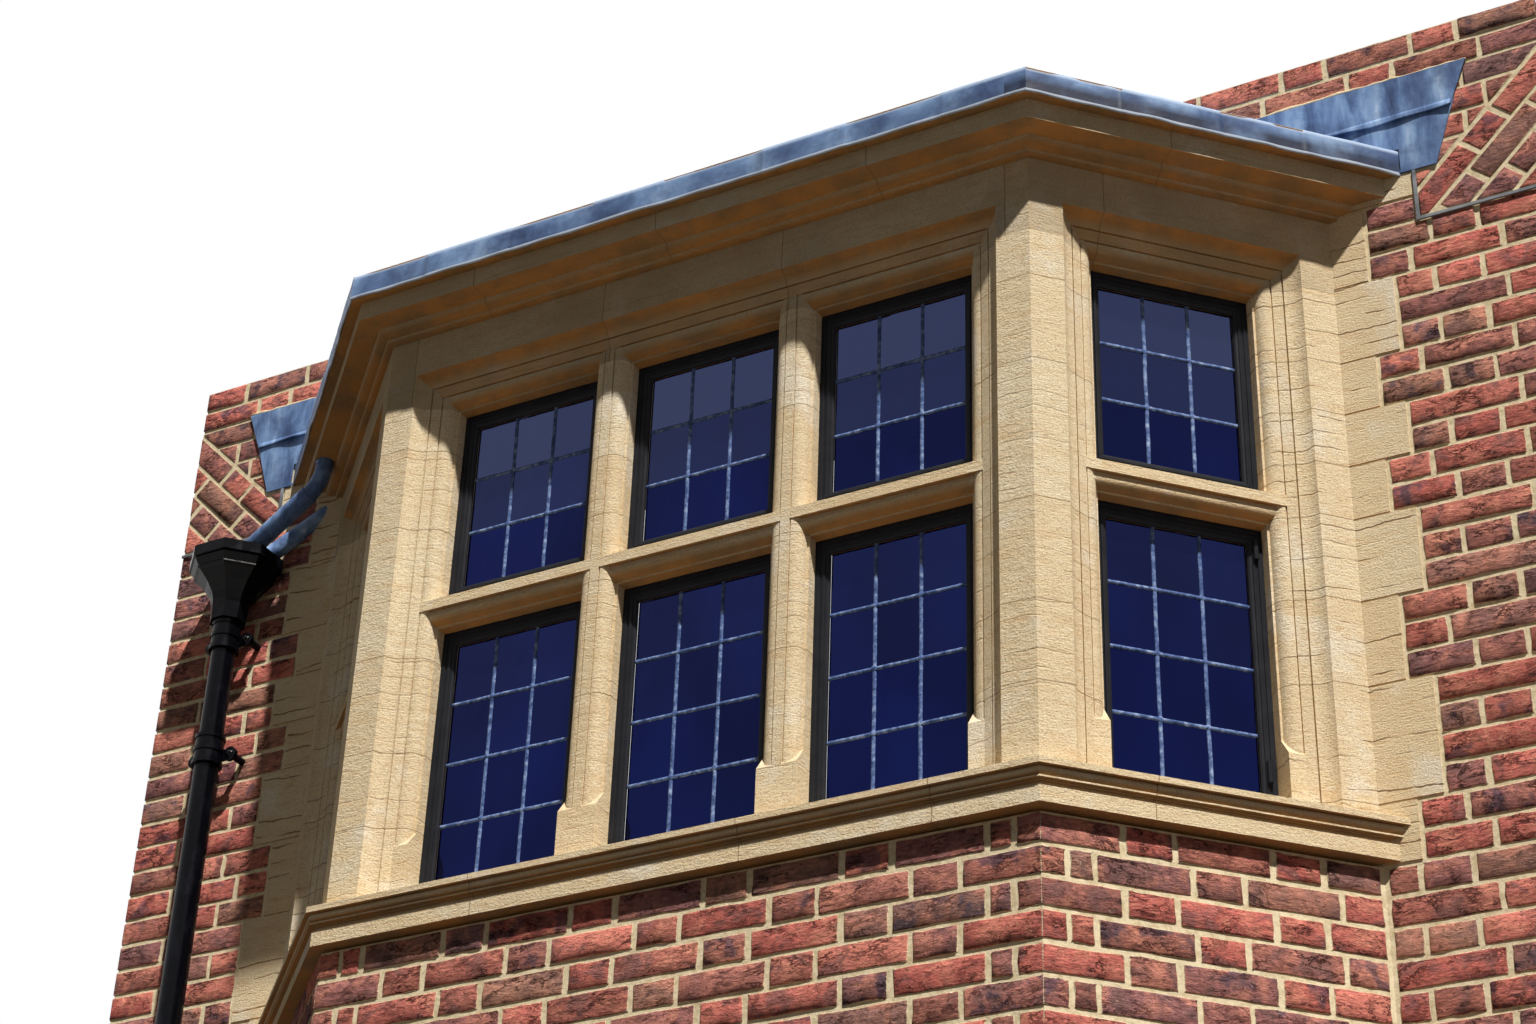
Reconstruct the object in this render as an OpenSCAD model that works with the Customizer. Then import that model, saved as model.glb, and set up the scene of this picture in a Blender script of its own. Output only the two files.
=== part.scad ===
// Canted bay window in moulded stone, one storey, on a brick apron,
// with the strips of house wall that carry its quoins, flashings and rainwater pipe.
// The wall's outer face is the plane Y = 0, the bay stands out towards -Y, and the base is Z = 0.

/* [Brickwork] */
// Height of one brick course with its bed joint
course = 75; // [70:1:80]
// Courses from the base up to the stone sill
apron_courses = 12; // [8:1:16]
// Bed joint under the stone sill
sill_bed = 8; // [5:1:15]
// Thickness of the brick apron under the sill
apron_t = 215; // [205:5:225]
// Thickness of the house wall
wall_t = 330; // [220:5:440]
// Width of each strip of house wall, measured from the corner with the bay
strip_w = 582; // [520:1:900]
// Courses of house wall over the cover flashing
over_courses = 1; // [1:1:12]
// Bearing of the lintel beam on each strip of wall
beam_bearing = 150; // [100:5:200]
// Thickness of the ceiling
ceiling_t = 25; // [15:1:40]
// Thickness of the floor slab in courses
floor_courses = 3; // [2:1:4]

/* [Quoins] */
// Width of a short quoin stone
quoin_short = 88; // [70:1:110]
// Width of a long quoin stone
quoin_long = 150; // [120:1:180]
// Width of the cap stone beside the cornice
cap_quoin = 222; // [200:1:240]
// Depth of the quoin stones into the wall
quoin_depth = 150; // [100:5:200]
// Joint under each quoin stone
quoin_joint = 5; // [3:1:10]

/* [Lights] */
// Number of lights across the front
front_lights = 3; // [3:1:5]
// Clear width of one light
light_w = 432; // [350:2:600]
// Clear height of a lower light
lower_h = 756; // [600:4:1000]
// Clear height of an upper light
upper_h = 568; // [400:4:700]
// Width of a mullion
mullion_w = 106; // [100:1:140]
// Height of a transom
transom_h = 102; // [98:1:140]
// Angle of each cant from the wall
cant_angle = 45; // [40:1:50]

/* [Stone mouldings] */
// Thickness of the stonework from its outer face to the room
stone_t = 215; // [205:5:225]
// Plain outer face of a jamb
jamb_flat = 89; // [80:1:140]
// Width of the shallow hollow
hollow_w = 34; // [28:1:40]
// Depth of the hollow at its inner end
hollow_d = 32; // [26:1:36]
// Radius of the hollow's curve
hollow_r = 50; // [42:1:60]
// Width of the sunk quirk beside a fillet
quirk_w = 3.5; // [2:0.5:5]
// Depth of the sunk quirk
quirk_d = 6; // [3:0.5:8]
// Width of the splayed fillet between hollow and ovolo
fillet_w = 23; // [18:1:30]
// Fall of the splayed fillet across its width
fillet_fall = 11; // [6:1:14]
// Setback of the hollow's end and of the ovolo behind the fillets beside them
set_back = 2; // [1:0.5:4]
// Radius of the ovolo
ovolo_r = 31; // [26:1:34]
// Width of the lip between ovolo and light
lip_w = 6; // [4:1:8]
// How far a transom's ovolo is set back behind its nose
nose_set = 9; // [5:1:11]
// Height and depth of the drip groove under a transom's nose
drip_h = 13; // [10:1:14]
// Depth of the stone face that the window frames stand behind
frame_depth = 108; // [100:1:130]
// How far the inner splay widens a light
splay = 23; // [10:1:30]
// Height of the face of the foot blocks that stop the ovolo
foot_h = 153; // [120:1:220]
// Rise of a foot block's top from its face back to the lip
foot_rise = 44; // [20:1:60]
// Fall of a transom's weathered top
weather_fall = 30; // [20:1:34]
// Height of the frieze over the moulded head
frieze_h = 120; // [80:1:160]

/* [Sill string] */
// Height of the sill string at the stone face
sill_h = 112; // [105:1:130]
// Height of the lower fascia of the sill
sill_fascia_h = 39; // [30:1:44]
// Projection of the lower fascia
sill_fascia = 28; // [20:1:34]
// Projection of the sill nosing
sill_nose = 49; // [44:1:60]
// Height of the nosing's face
sill_nose_h = 15; // [10:1:20]
// Rise of the sill between its seat and the window frames
sill_rise = 18; // [10:1:24]

/* [Cornice and roof] */
// Height of the stone cornice
cornice_h = 100; // [90:1:130]
// Height of the bed mould
bed_mould_h = 35; // [32:1:38]
// Radius of the bead under the bed mould
bed_bead = 12; // [10:1:13]
// Projection of the bed mould
bed_mould = 47; // [44:1:52]
// Projection of the corona
corona = 107; // [102:1:116]
// Height of the cornice's top fillet
top_fillet_h = 9; // [6:1:14]
// Projection of the cornice's top fillet
cornice_top = 135; // [128:1:138]
// Projection of the lead drip
lead_edge = 143; // [140:1:150]
// Height of the lead drip's face
lead_edge_h = 68; // [50:1:90]
// Thickness of the lead covering where it is dressed over the deck
lead_t = 5; // [3:0.5:6]
// Pitch of the lead roof
roof_pitch = 10; // [6:0.5:12]
// Height of the cover flashing's top over the cornice
flash_top = 295; // [280:1:310]
// Depth of the cover flashing
flash_h = 128; // [110:1:140]
// How far the cover flashing runs past the bay's corner with the wall
flash_run = 392; // [380:1:400]
// How far the side flashings run in over the roof's ends, from the drip's corner
side_run = 320; // [300:1:340]
// Width of the side flashings' lower tips
side_tip_w = 87; // [76:1:100]
// Thickness of a flashing
flash_t = 4; // [3:0.5:6]

/* [Windows] */
// Width of the fixed frame's face
frame_w = 18; // [14:1:22]
// Depth of the fixed frame
frame_t = 36; // [30:1:44]
// Width of the casement's face inside the fixed frame
casement_w = 18; // [12:1:20]
// Thickness of the casement's face
casement_t = 12; // [8:1:16]
// Gap pointed with mastic between frame and stone
frame_gap = 0.5; // [0.3:0.1:0.8]
// Thickness of the glass with its leading
glass_t = 5; // [4:0.5:8]
// How far the glass laps behind the casement
glass_lap = 8; // [6:1:10]

/* [Rainwater goods] */
// Outside diameter of the downpipe
pipe_d = 70; // [60:1:80]
// Wall of the pipes
pipe_wall = 5; // [3:0.5:6]
// Distance from the bay's corner with the wall to the downpipe's axis
pipe_x = 301; // [290:1:320]
// Distance from the wall to the downpipe's axis
pipe_y = 77; // [74:1:95]
// Width of the hopper head across its flats
hopper_w = 260; // [250:1:280]
// Height of the hopper head with its neck
hopper_h = 245; // [220:1:260]
// Distance from the cornice's bed down to the top of the hopper head
hopper_drop = 190; // [175:1:230]
// Height of the hopper head's round neck, held in the top collar
neck_h = 34; // [28:1:40]
// Diameter of the outlet pipe from the cornice, and of the overflow pipe
outlet_d = 50; // [44:1:54]
// Height of a pipe collar
collar_h = 92; // [80:1:100]
// Thickness of a pipe collar between its beads
collar_t = 6; // [5:1:8]
// Projection of a collar's beads
collar_bead = 3; // [2:1:4]
// Distance from the downpipe's axis to the bolts in a collar's ears
ear_x = 62; // [58:1:70]
// Radius of an ear
ear_r = 21; // [18:1:23]
// Thickness of an ear
ear_t = 12; // [10:1:14]
// Distance from the wall to the back of an ear
ear_gap = 50; // [44:1:54]
// Distance from the hopper head's foot down to the middle of the second collar
collar_drop = 384; // [300:1:900]

/* [Hidden] */
$fn = 48;

// Room for cutting shapes to reach past what they cut
over = 10;

// The jamb's order of mouldings, from the outer arris in to the light. The nose is the plane of
// the mullions' fillets, the foot blocks' faces and the transoms' faces.
recess_w = quirk_w + ovolo_r + lip_w;
order_w = hollow_w + quirk_w + fillet_w + recess_w;
jamb_w = jamb_flat + order_w;
fillet_depth = hollow_d + set_back;
nose_depth = fillet_depth + fillet_fall;
lip_depth = nose_depth + set_back + ovolo_r;
splay_depth = frame_depth + frame_t + 9;

// Plan of the bay
front_w = 2 * jamb_w + front_lights * light_w + (front_lights - 1) * mullion_w;
cant_w = 2 * jamb_w + light_w;
projection = cant_w * sin(cant_angle);
wall_w = front_w + 2 * cant_w * cos(cant_angle);
corner_x = wall_w / 2;
mitre = tan(cant_angle / 2);
strip_x = corner_x + strip_w;
room_x = corner_x - apron_t / sin(cant_angle);
light_pitch = light_w + mullion_w;
front_edge = front_w / 2 - jamb_w;

// Levels
sill_z = apron_courses * course + sill_bed;
seat_z = sill_z + sill_h;
light_z = seat_z + sill_rise;
lower_top = light_z + lower_h;
upper_z = lower_top + transom_h;
upper_top = upper_z + upper_h;
order_top = upper_top + order_w;
cornice_z = order_top + frieze_h;
deck_z = cornice_z + cornice_h;
roof_z = deck_z + lead_edge_h;
flash_z = deck_z + flash_top;
wall_z = (ceil(flash_z / course) + over_courses) * course;
floor_z = floor_courses * course;

// The beam over the opening to the room, three courses deep
beam_z = floor(order_top / course + 0.9) * course;
beam_top = beam_z + 3 * course;

// Quoin stones stand on whole courses, short and long by turns, under a wide one beside the cornice
cap_course = floor(deck_z / course - 0.1) - 1;
quoin_steps = [0, 2, 6, 9, 12, 14, 16, 18, 21, 24];

// Rainwater goods
pipe_r = pipe_d / 2;
pipe_pos_x = -(corner_x + pipe_x);
hopper_z = cornice_z - hopper_drop;
hopper_neck_z = hopper_z - hopper_h;
outlet_r = outlet_d / 2;

// Colours
brick = "firebrick";
stone = "wheat";
lead = "lightsteelblue";
iron = "dimgray";
timber = "burlywood";

// Depth y of the front face is measured from the plane of the front arrises.
module on_front() translate([0, -projection, 0]) children();

// The cant's own frame has x along its face from its middle and y into the bay.
module on_right_cant()
    translate([(front_w + wall_w) / 4, -projection / 2, 0]) rotate(cant_angle) children();

module both_sides() {
    children();
    mirror([1, 0, 0]) children();
}

// Plan of the front face's stones between the depths y0 and y1, mitred at both ends.
module front_plan(y0, y1)
    polygon([[-front_w / 2 + y0 * mitre, y0], [front_w / 2 - y0 * mitre, y0],
        [front_w / 2 - y1 * mitre, y1], [-front_w / 2 + y1 * mitre, y1]]);

// Plan of the cant's stones between the depths y0 and y1, mitred at the arris and cut at the wall.
module cant_plan(y0, y1)
    polygon([[-cant_w / 2 + y0 * mitre, y0], [cant_w / 2 - y0 / tan(cant_angle), y0],
        [cant_w / 2 - y1 / tan(cant_angle), y1], [-cant_w / 2 + y1 * mitre, y1]]);

// Plan of the whole bay from the wall outwards, its faces moved out by o.
module bay_plan(o)
    polygon([[-corner_x - o / sin(cant_angle), 0], [-front_w / 2 - o * mitre, -projection - o],
        [front_w / 2 + o * mitre, -projection - o], [corner_x + o / sin(cant_angle), 0]]);

// Turns a section drawn as (height, depth) so that it runs along x from x0 to x1.
module along_x(x0, x1) translate([x1, 0, 0]) rotate([0, -90, 0]) linear_extrude(x1 - x0) children();

// Air in front of and beside a light's edge, with the light at x < 0 and the stone at x > 0:
// reveal, lip, ovolo, quirk, nose plane and inner splay. The ovolo's front lies behind the nose
// by set, and the groove between the two is groove_w wide and groove_d deep.
module light_air(reach, set, groove_w, groove_d) {
    r = lip_depth - nose_depth - set;
    translate([-reach, -over]) square([reach, over + splay_depth + 1]);
    translate([-reach, -over]) square([reach + lip_w + r + groove_w, over + nose_depth]);
    translate([lip_w + r, 0]) square([groove_w, nose_depth + groove_d]);
    difference() {
        translate([-1, -over]) square([1 + lip_w + r, over + lip_depth]);
        translate([lip_w + r, lip_depth]) circle(r);
    }
    splay_air(reach);
}

// Air of the splay on the room's side of a light's edge.
module splay_air(reach)
    polygon([[-reach, splay_depth], [0, splay_depth],
        [splay * (1 + over / (stone_t - splay_depth)), stone_t + over], [-reach, stone_t + over]]);

// Air of the outer order: a shallow hollow from the arris, then a quirk, then the fillet splayed
// back to the nose plane. The hollow's circle passes through both of its ends.
module order_air(reach) {
    half = norm([hollow_w, hollow_d]) / 2;
    away = sqrt(hollow_r * hollow_r - half * half) / (2 * half);
    end = order_w - hollow_w;
    translate([end + hollow_w / 2 - away * hollow_d, hollow_d / 2 - away * hollow_w]) circle(hollow_r);
    translate([end - quirk_w, 0]) square([quirk_w, fillet_depth + quirk_d]);
    polygon([[-reach, -over], [-reach, nose_depth], [recess_w, nose_depth],
        [end - quirk_w, fillet_depth], [end, fillet_depth - set_back], [end, -over]]);
}

// Air over a transom: level in front of its nose, then the weathering, the frame's seat and the splay.
module weather_air(x0, x1) {
    nose = upper_z - weather_fall;
    end = upper_z - splay * (1 + over / (stone_t - splay_depth));
    along_x(x0, x1) polygon([[nose, -over], [nose, nose_depth], [upper_z, frame_depth],
        [upper_z, splay_depth], [end, stone_t + over], [order_top, stone_t + over], [order_top, -over]]);
}

// Air under a head or transom at the height top.
module soffit_air(x0, x1, top, reach, set, groove_w, groove_d)
    translate([0, 0, top]) along_x(x0, x1) light_air(reach, set, groove_w, groove_d);

// Air under a transom, with the drip groove behind its nose.
module drip_air(x0, x1, reach)
    soffit_air(x0, x1, lower_top, reach, nose_set, drip_h, drip_h);

// Air of an upper light at its right edge, x = 0.
module upper_edge_air() intersection() {
    reach = light_w + mullion_w;
    translate([0, 0, lower_top]) linear_extrude(upper_h + transom_h + order_w)
        light_air(reach, set_back, quirk_w, quirk_d);
    soffit_air(-reach, mullion_w, upper_top, upper_h + transom_h, set_back, quirk_w, quirk_d);
    weather_air(-reach, mullion_w);
}

// Everything over the foot blocks: their tops rise from the nose plane back to the lip.
module foot_air(x0, x1) {
    face_z = seat_z + foot_h;
    back_z = face_z + foot_rise;
    along_x(x0, x1) polygon([[face_z, -over], [face_z, nose_depth], [back_z, lip_depth],
        [back_z, stone_t + over], [upper_z, stone_t + over], [upper_z, -over]]);
}

// Air of a lower light at its right edge, x = 0. The ovolo stops on the foot block.
module lower_edge_air() intersection() {
    reach = light_w + mullion_w;
    union() {
        intersection() {
            translate([0, 0, seat_z]) linear_extrude(lower_h + transom_h)
                light_air(reach, set_back, quirk_w, quirk_d);
            foot_air(-reach, mullion_w);
        }
        translate([0, 0, seat_z - over]) linear_extrude(foot_h + foot_rise + 2 * over) {
            translate([-reach, -over]) square([reach, over + splay_depth + 1]);
            splay_air(reach);
        }
    }
    drip_air(-reach, mullion_w, lower_h + 3 * over);
}

// Both rows of lights at a right edge, and their mirror for a left edge.
module right_edge_cut(x) translate([x, 0, 0]) {
    lower_edge_air();
    upper_edge_air();
}

module left_edge_cut(x) translate([x, 0, 0]) mirror([1, 0, 0]) {
    lower_edge_air();
    upper_edge_air();
}

// One upper light between its two edges, for the head stones.
module upper_light_cut(x) intersection() {
    translate([x + light_w / 2, 0, 0]) upper_edge_air();
    translate([x - light_w / 2, 0, 0]) mirror([1, 0, 0]) upper_edge_air();
}

// The outer order at a right edge x, up a jamb only.
module order_cut(x) translate([x, 0, seat_z - over])
    linear_extrude(upper_top - seat_z + 2 * over) order_air(order_w);

// The outer order mitred round the head of a group of lights from x0 to x1.
module head_order_cut(x0, x1) intersection() {
    translate([x1, 0, upper_top - over]) linear_extrude(order_w + 2 * over) order_air(x1 - x0 + order_w);
    translate([x0, 0, upper_top - over]) mirror([1, 0, 0])
        linear_extrude(order_w + 2 * over) order_air(x1 - x0 + order_w);
    translate([0, 0, upper_top]) along_x(x0 - order_w, x1 + order_w) order_air(2 * over);
}

// Middle of light i of the front.
function light_x(i) = (i - (front_lights - 1) / 2) * light_pitch;

// Brick apron: three walls mitred to each other, the cants ending on the house wall.
module apron_front() color(brick)
    on_front() linear_extrude(apron_courses * course) front_plan(0, apron_t);

module apron_right() color(brick)
    on_right_cant() linear_extrude(apron_courses * course) cant_plan(0, apron_t);

module apron_left() mirror([1, 0, 0]) apron_right();

// Bed of quoin i: the steps are shared out over the courses between apron and cap stone.
function quoin_z(i) = course * (apron_courses
    + round(quoin_steps[i] * (cap_course - apron_courses) / quoin_steps[len(quoin_steps) - 1]));

module quoin_stones() {
    for (i = [0:len(quoin_steps) - 2])
        translate([corner_x, 0, quoin_z(i) + quoin_joint])
            cube([i % 2 == 0 ? quoin_short : quoin_long, quoin_depth,
                quoin_z(i + 1) - quoin_z(i) - quoin_joint]);
    translate([corner_x, 0, cap_course * course + quoin_joint])
        cube([cap_quoin, quoin_depth, course - quoin_joint]);
}

module quoins_right() color(stone) quoin_stones();

module quoins_left() mirror([1, 0, 0]) quoins_right();

// House wall: its strip runs past the opening to the room and takes the beam's end.
module house_wall_right() color(brick) difference() {
    translate([0, wall_t, 0]) rotate([90, 0, 0]) linear_extrude(wall_t)
        polygon([[room_x, 0], [strip_x, 0], [strip_x, wall_z], [room_x + beam_bearing, wall_z],
            [room_x + beam_bearing, beam_z], [room_x, beam_z]]);
    quoin_stones();
}

module house_wall_left() mirror([1, 0, 0]) house_wall_right();

module lintel_beam() color("silver")
    translate([-room_x - beam_bearing, 0, beam_z]) cube([2 * (room_x + beam_bearing), wall_t, 3 * course]);

module house_wall_over() color(brick)
    translate([-room_x - beam_bearing, 0, beam_top])
        cube([2 * (room_x + beam_bearing), wall_t, wall_z - beam_top]);

// Plan of the room inside the bay, from the inner faces through the opening in the wall.
module room_plan() {
    inner_x = front_w / 2 - apron_t * mitre;
    polygon([[-inner_x, -projection + apron_t], [inner_x, -projection + apron_t], [room_x, 0],
        [room_x, wall_t], [-room_x, wall_t], [-room_x, 0]]);
}

module floor() color("gainsboro") linear_extrude(floor_z) room_plan();

module ceiling() color("white") translate([0, 0, beam_z - ceiling_t]) linear_extrude(ceiling_t) room_plan();

// Section of the sill string as (height, depth): fascia, sunk hollow, thin fillet,
// roll, nosing and weathered top.
module sill_section() {
    difference() {
        union() {
            translate([0, -sill_fascia]) square([sill_fascia_h, sill_fascia + stone_t]);
            translate([0, -sill_fascia + 8]) square([sill_h - 30, sill_fascia + stone_t - 8]);
            translate([sill_fascia_h + 16, -sill_fascia - 8]) square([4, 20]);
            translate([sill_h - 40, -sill_fascia - 1]) circle(11);
            polygon([[sill_h - 30, -sill_nose], [sill_h - 30 + sill_nose_h, -sill_nose], [sill_h, 0],
                [sill_h, stone_t], [sill_h - 30, stone_t]]);
        }
        translate([sill_fascia_h + 8, -sill_fascia + 6]) circle(7);
    }
}

// Rise of the sill inside one light, from the stone face back to the seat of the window frame.
module sill_light(x) translate([0, 0, seat_z]) along_x(x - light_w / 2, x + light_w / 2)
    polygon([[-over, 0], [0, 0], [sill_rise, frame_depth], [sill_rise, splay_depth], [-over, splay_depth]]);

module sill_front() color(stone) on_front() {
    intersection() {
        translate([0, 0, sill_z]) along_x(-front_w, front_w) sill_section();
        translate([0, 0, sill_z - over]) linear_extrude(sill_h + 2 * over)
            front_plan(-sill_nose - over, stone_t);
    }
    for (i = [0:front_lights - 1]) sill_light(light_x(i));
}

module sill_right() color(stone) on_right_cant() {
    intersection() {
        translate([0, 0, sill_z]) along_x(-cant_w, cant_w) sill_section();
        translate([0, 0, sill_z - over]) linear_extrude(sill_h + 2 * over)
            cant_plan(-sill_nose - over, stone_t);
    }
    sill_light(0);
}

module sill_left() mirror([1, 0, 0]) sill_right();

// Corner pier: one stone round the arris, moulded towards the front and towards the cant.
module corner_pier_right() color(stone) difference() {
    turn = [jamb_w * cos(cant_angle), jamb_w * sin(cant_angle)];
    inward = stone_t * [-sin(cant_angle), cos(cant_angle)];
    on_front() translate([0, 0, seat_z]) linear_extrude(upper_top - seat_z)
        polygon([[front_edge, 0], [front_w / 2, 0], [front_w / 2, 0] + turn,
            [front_w / 2, 0] + turn + inward, [front_w / 2 - stone_t * mitre, stone_t],
            [front_edge, stone_t]]);
    on_front() {
        order_cut(front_edge);
        right_edge_cut(front_edge);
    }
    on_right_cant() mirror([1, 0, 0]) {
        order_cut(light_w / 2);
        right_edge_cut(light_w / 2);
    }
}

module corner_pier_left() mirror([1, 0, 0]) corner_pier_right();

// Jamb of the cant against the house wall, cut to the wall's plane.
module wall_jamb_right() color(stone) on_right_cant() difference() {
    translate([0, 0, seat_z]) linear_extrude(upper_top - seat_z) intersection() {
        cant_plan(0, stone_t);
        translate([light_w / 2, -over]) square([jamb_w + over, stone_t + 2 * over]);
    }
    order_cut(light_w / 2);
    right_edge_cut(light_w / 2);
}

module wall_jamb_left() mirror([1, 0, 0]) wall_jamb_right();

// Mullion i stands between the lights i and i + 1, from the sill to the head.
module mullion(i) color(stone) {
    x = light_x(i) + light_pitch / 2;
    on_front() difference() {
        translate([x - mullion_w / 2, nose_depth, seat_z])
            cube([mullion_w, stone_t - nose_depth, upper_top - seat_z]);
        right_edge_cut(x - mullion_w / 2);
        left_edge_cut(x + mullion_w / 2);
    }
}

module mullion_left() for (i = [0:ceil((front_lights - 1) / 2) - 1]) mullion(i);

module mullion_right() for (i = [ceil((front_lights - 1) / 2):1:front_lights - 2]) mullion(i);

// Transom stone of the light at x, between the stubs worked on the jambs and mullions.
module transom(x) difference() {
    translate([x - light_w / 2, nose_depth, lower_top]) cube([light_w, stone_t - nose_depth, transom_h]);
    weather_air(x - light_w, x + light_w);
    drip_air(x - light_w, x + light_w, over);
}

module transom_front() color(stone) on_front() for (i = [0:front_lights - 1]) transom(light_x(i));

module transom_right() color(stone) on_right_cant() transom(0);

module transom_left() mirror([1, 0, 0]) transom_right();

// Head stones with the frieze over them.
module head_front() color(stone) on_front() difference() {
    translate([0, 0, upper_top]) linear_extrude(order_w + frieze_h) front_plan(0, stone_t);
    head_order_cut(-front_edge, front_edge);
    for (i = [0:front_lights - 1]) upper_light_cut(light_x(i));
}

module head_right() color(stone) on_right_cant() difference() {
    translate([0, 0, upper_top]) linear_extrude(order_w + frieze_h) cant_plan(0, stone_t);
    head_order_cut(-light_w / 2, light_w / 2);
    upper_light_cut(0);
}

module head_left() mirror([1, 0, 0]) head_right();

// Section of the cornice as (height, depth): bead, bed mould, corona and top fillet.
module cornice_section() {
    r = bed_mould_h - bed_bead - 0.4;
    translate([0, -8]) square([bed_mould_h, 8 + stone_t]);
    translate([bed_bead + 0.2, -8]) circle(bed_bead);
    translate([bed_bead, r - bed_mould]) square([bed_mould_h - bed_bead, bed_mould - r + stone_t]);
    intersection() {
        translate([bed_mould_h, r - bed_mould]) circle(r);
        translate([0, -bed_mould - 1]) square([bed_mould_h, stone_t]);
    }
    translate([bed_mould_h, -corona]) square([cornice_h - bed_mould_h, corona + stone_t]);
    translate([cornice_h - top_fillet_h, -cornice_top]) square([top_fillet_h, corona]);
}

module cornice_front() color(stone) on_front() intersection() {
    translate([0, 0, cornice_z]) along_x(-front_w, front_w) cornice_section();
    translate([0, 0, cornice_z]) linear_extrude(cornice_h) front_plan(-cornice_top - over, stone_t);
}

module cornice_right() color(stone) on_right_cant() intersection() {
    translate([0, 0, cornice_z]) along_x(-cant_w, cant_w) cornice_section();
    translate([0, 0, cornice_z]) linear_extrude(cornice_h) cant_plan(-cornice_top - over, stone_t);
}

module cornice_left() mirror([1, 0, 0]) cornice_right();

// Low-pitched roof: three slopes rising from the edge at the offset o, their eaves at eaves_z.
module roof_body(o, eaves_z) intersection() {
    translate([0, 0, deck_z]) linear_extrude(3 * lead_edge_h + projection * tan(roof_pitch)) bay_plan(o);
    on_front() roof_slope(front_w, o, eaves_z);
    on_right_cant() roof_slope(front_w + cant_w, o, eaves_z);
    mirror([1, 0, 0]) on_right_cant() roof_slope(front_w + cant_w, o, eaves_z);
}

// Everything under one slope, as a long prism with its eaves at the depth -o.
module roof_slope(half_w, o, eaves_z) {
    run = 3 * front_w;
    along_x(-2 * half_w, 2 * half_w)
        polygon([[0, -o], [eaves_z, -o], [eaves_z + run * tan(roof_pitch), run - o], [0, run - o]]);
}

module roof_deck() color(timber) roof_body(lead_edge - lead_t, roof_z - lead_t);

// Lead covering dressed over the deck, with its deep drip.
module lead_roof() color(lead) difference() {
    roof_body(lead_edge, roof_z);
    roof_body(lead_edge - lead_t, roof_z - lead_t);
}

// Cover flashing: chased into a bed joint of the wall and lapped over the roof and side pieces.
module cover_flashing() color(lead) difference() {
    flash_x = corner_x + flash_run;
    slant = 48;
    translate([0, 0, flash_z]) rotate([90, 0, 0]) union() {
        linear_extrude(2 * flash_t)
            polygon([[-flash_x, 0], [-flash_x + 2, -6], [flash_x - 2, -6], [flash_x, 0]]);
        translate([0, 0, flash_t]) linear_extrude(flash_t)
            polygon([[-flash_x, 0], [-flash_x + slant, -flash_h],
                [flash_x - slant, -flash_h], [flash_x, 0]]);
    }
    roof_body(lead_edge, roof_z);
}

// Side flashings: the lead upstands beside the roof's ends, lapped under the cover flashing.
module side_flashings() color(lead) both_sides() difference() {
    drip_x = corner_x + lead_edge / sin(cant_angle);
    tip_z = deck_z - 7 - flash_z + flash_h;
    translate([0, 0, flash_z - flash_h]) rotate([90, 0, 0]) linear_extrude(flash_t)
        polygon([[drip_x - side_run, 20], [corner_x + flash_run - 40, 20], [drip_x + side_tip_w, tip_z],
            [drip_x, tip_z], [drip_x - side_run, tip_z + lead_edge_h + 7]]);
    roof_body(lead_edge, roof_z);
}

// Edge of the lead damp course in the wall, turned up beside the cornice.
module damp_course() color("gray") both_sides() {
    damp_z = beam_z;
    up_x = corner_x + cap_quoin + 4;
    translate([up_x, -6, damp_z - 6]) cube([strip_x - up_x, 6, 8]);
    translate([up_x, -6, damp_z + 2]) cube([8, 6, (cap_course + 1) * course - damp_z - 2]);
}

// Window frame with its casement's face, between the levels z0 and z0 + h, the light's middle at x.
module window_frame(x, z0, h) {
    w = light_w - 2 * frame_gap;
    face = frame_w + casement_w;
    translate([x - w / 2, frame_depth, z0]) difference() {
        cube([w, frame_t, h - frame_gap]);
        translate([frame_w, -1, frame_w]) cube([w - 2 * frame_w, 5, h - frame_gap - 2 * frame_w]);
        translate([face, 0, face]) cube([w - 2 * face, frame_t, h - frame_gap - 2 * face]);
        translate([frame_w, 4 + casement_t, frame_w])
            cube([w - 2 * frame_w, frame_t, h - frame_gap - 2 * frame_w]);
    }
}

// Glass with its leading, lapped behind the casement's face.
module pane(x, z0, h) {
    w = light_w - 2 * frame_gap;
    inset = frame_w + casement_w - glass_lap;
    translate([x - w / 2 + inset, frame_depth + 4 + casement_t, z0 + inset])
        cube([w - 2 * inset, glass_t, h - frame_gap - 2 * inset]);
}

module frames_front_lower() color(iron) on_front()
    for (i = [0:front_lights - 1]) window_frame(light_x(i), light_z, lower_h);

module frames_front_upper() color(iron) on_front()
    for (i = [0:front_lights - 1]) window_frame(light_x(i), upper_z, upper_h);

module frames_right() color(iron) on_right_cant() {
    window_frame(0, light_z, lower_h);
    window_frame(0, upper_z, upper_h);
}

module frames_left() mirror([1, 0, 0]) frames_right();

module glass_lower() color("navy") {
    on_front() for (i = [0:front_lights - 1]) pane(light_x(i), light_z, lower_h);
    both_sides() on_right_cant() pane(0, light_z, lower_h);
}

module glass_upper() color("navy") {
    on_front() for (i = [0:front_lights - 1]) pane(light_x(i), upper_z, upper_h);
    both_sides() on_right_cant() pane(0, upper_z, upper_h);
}

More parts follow.
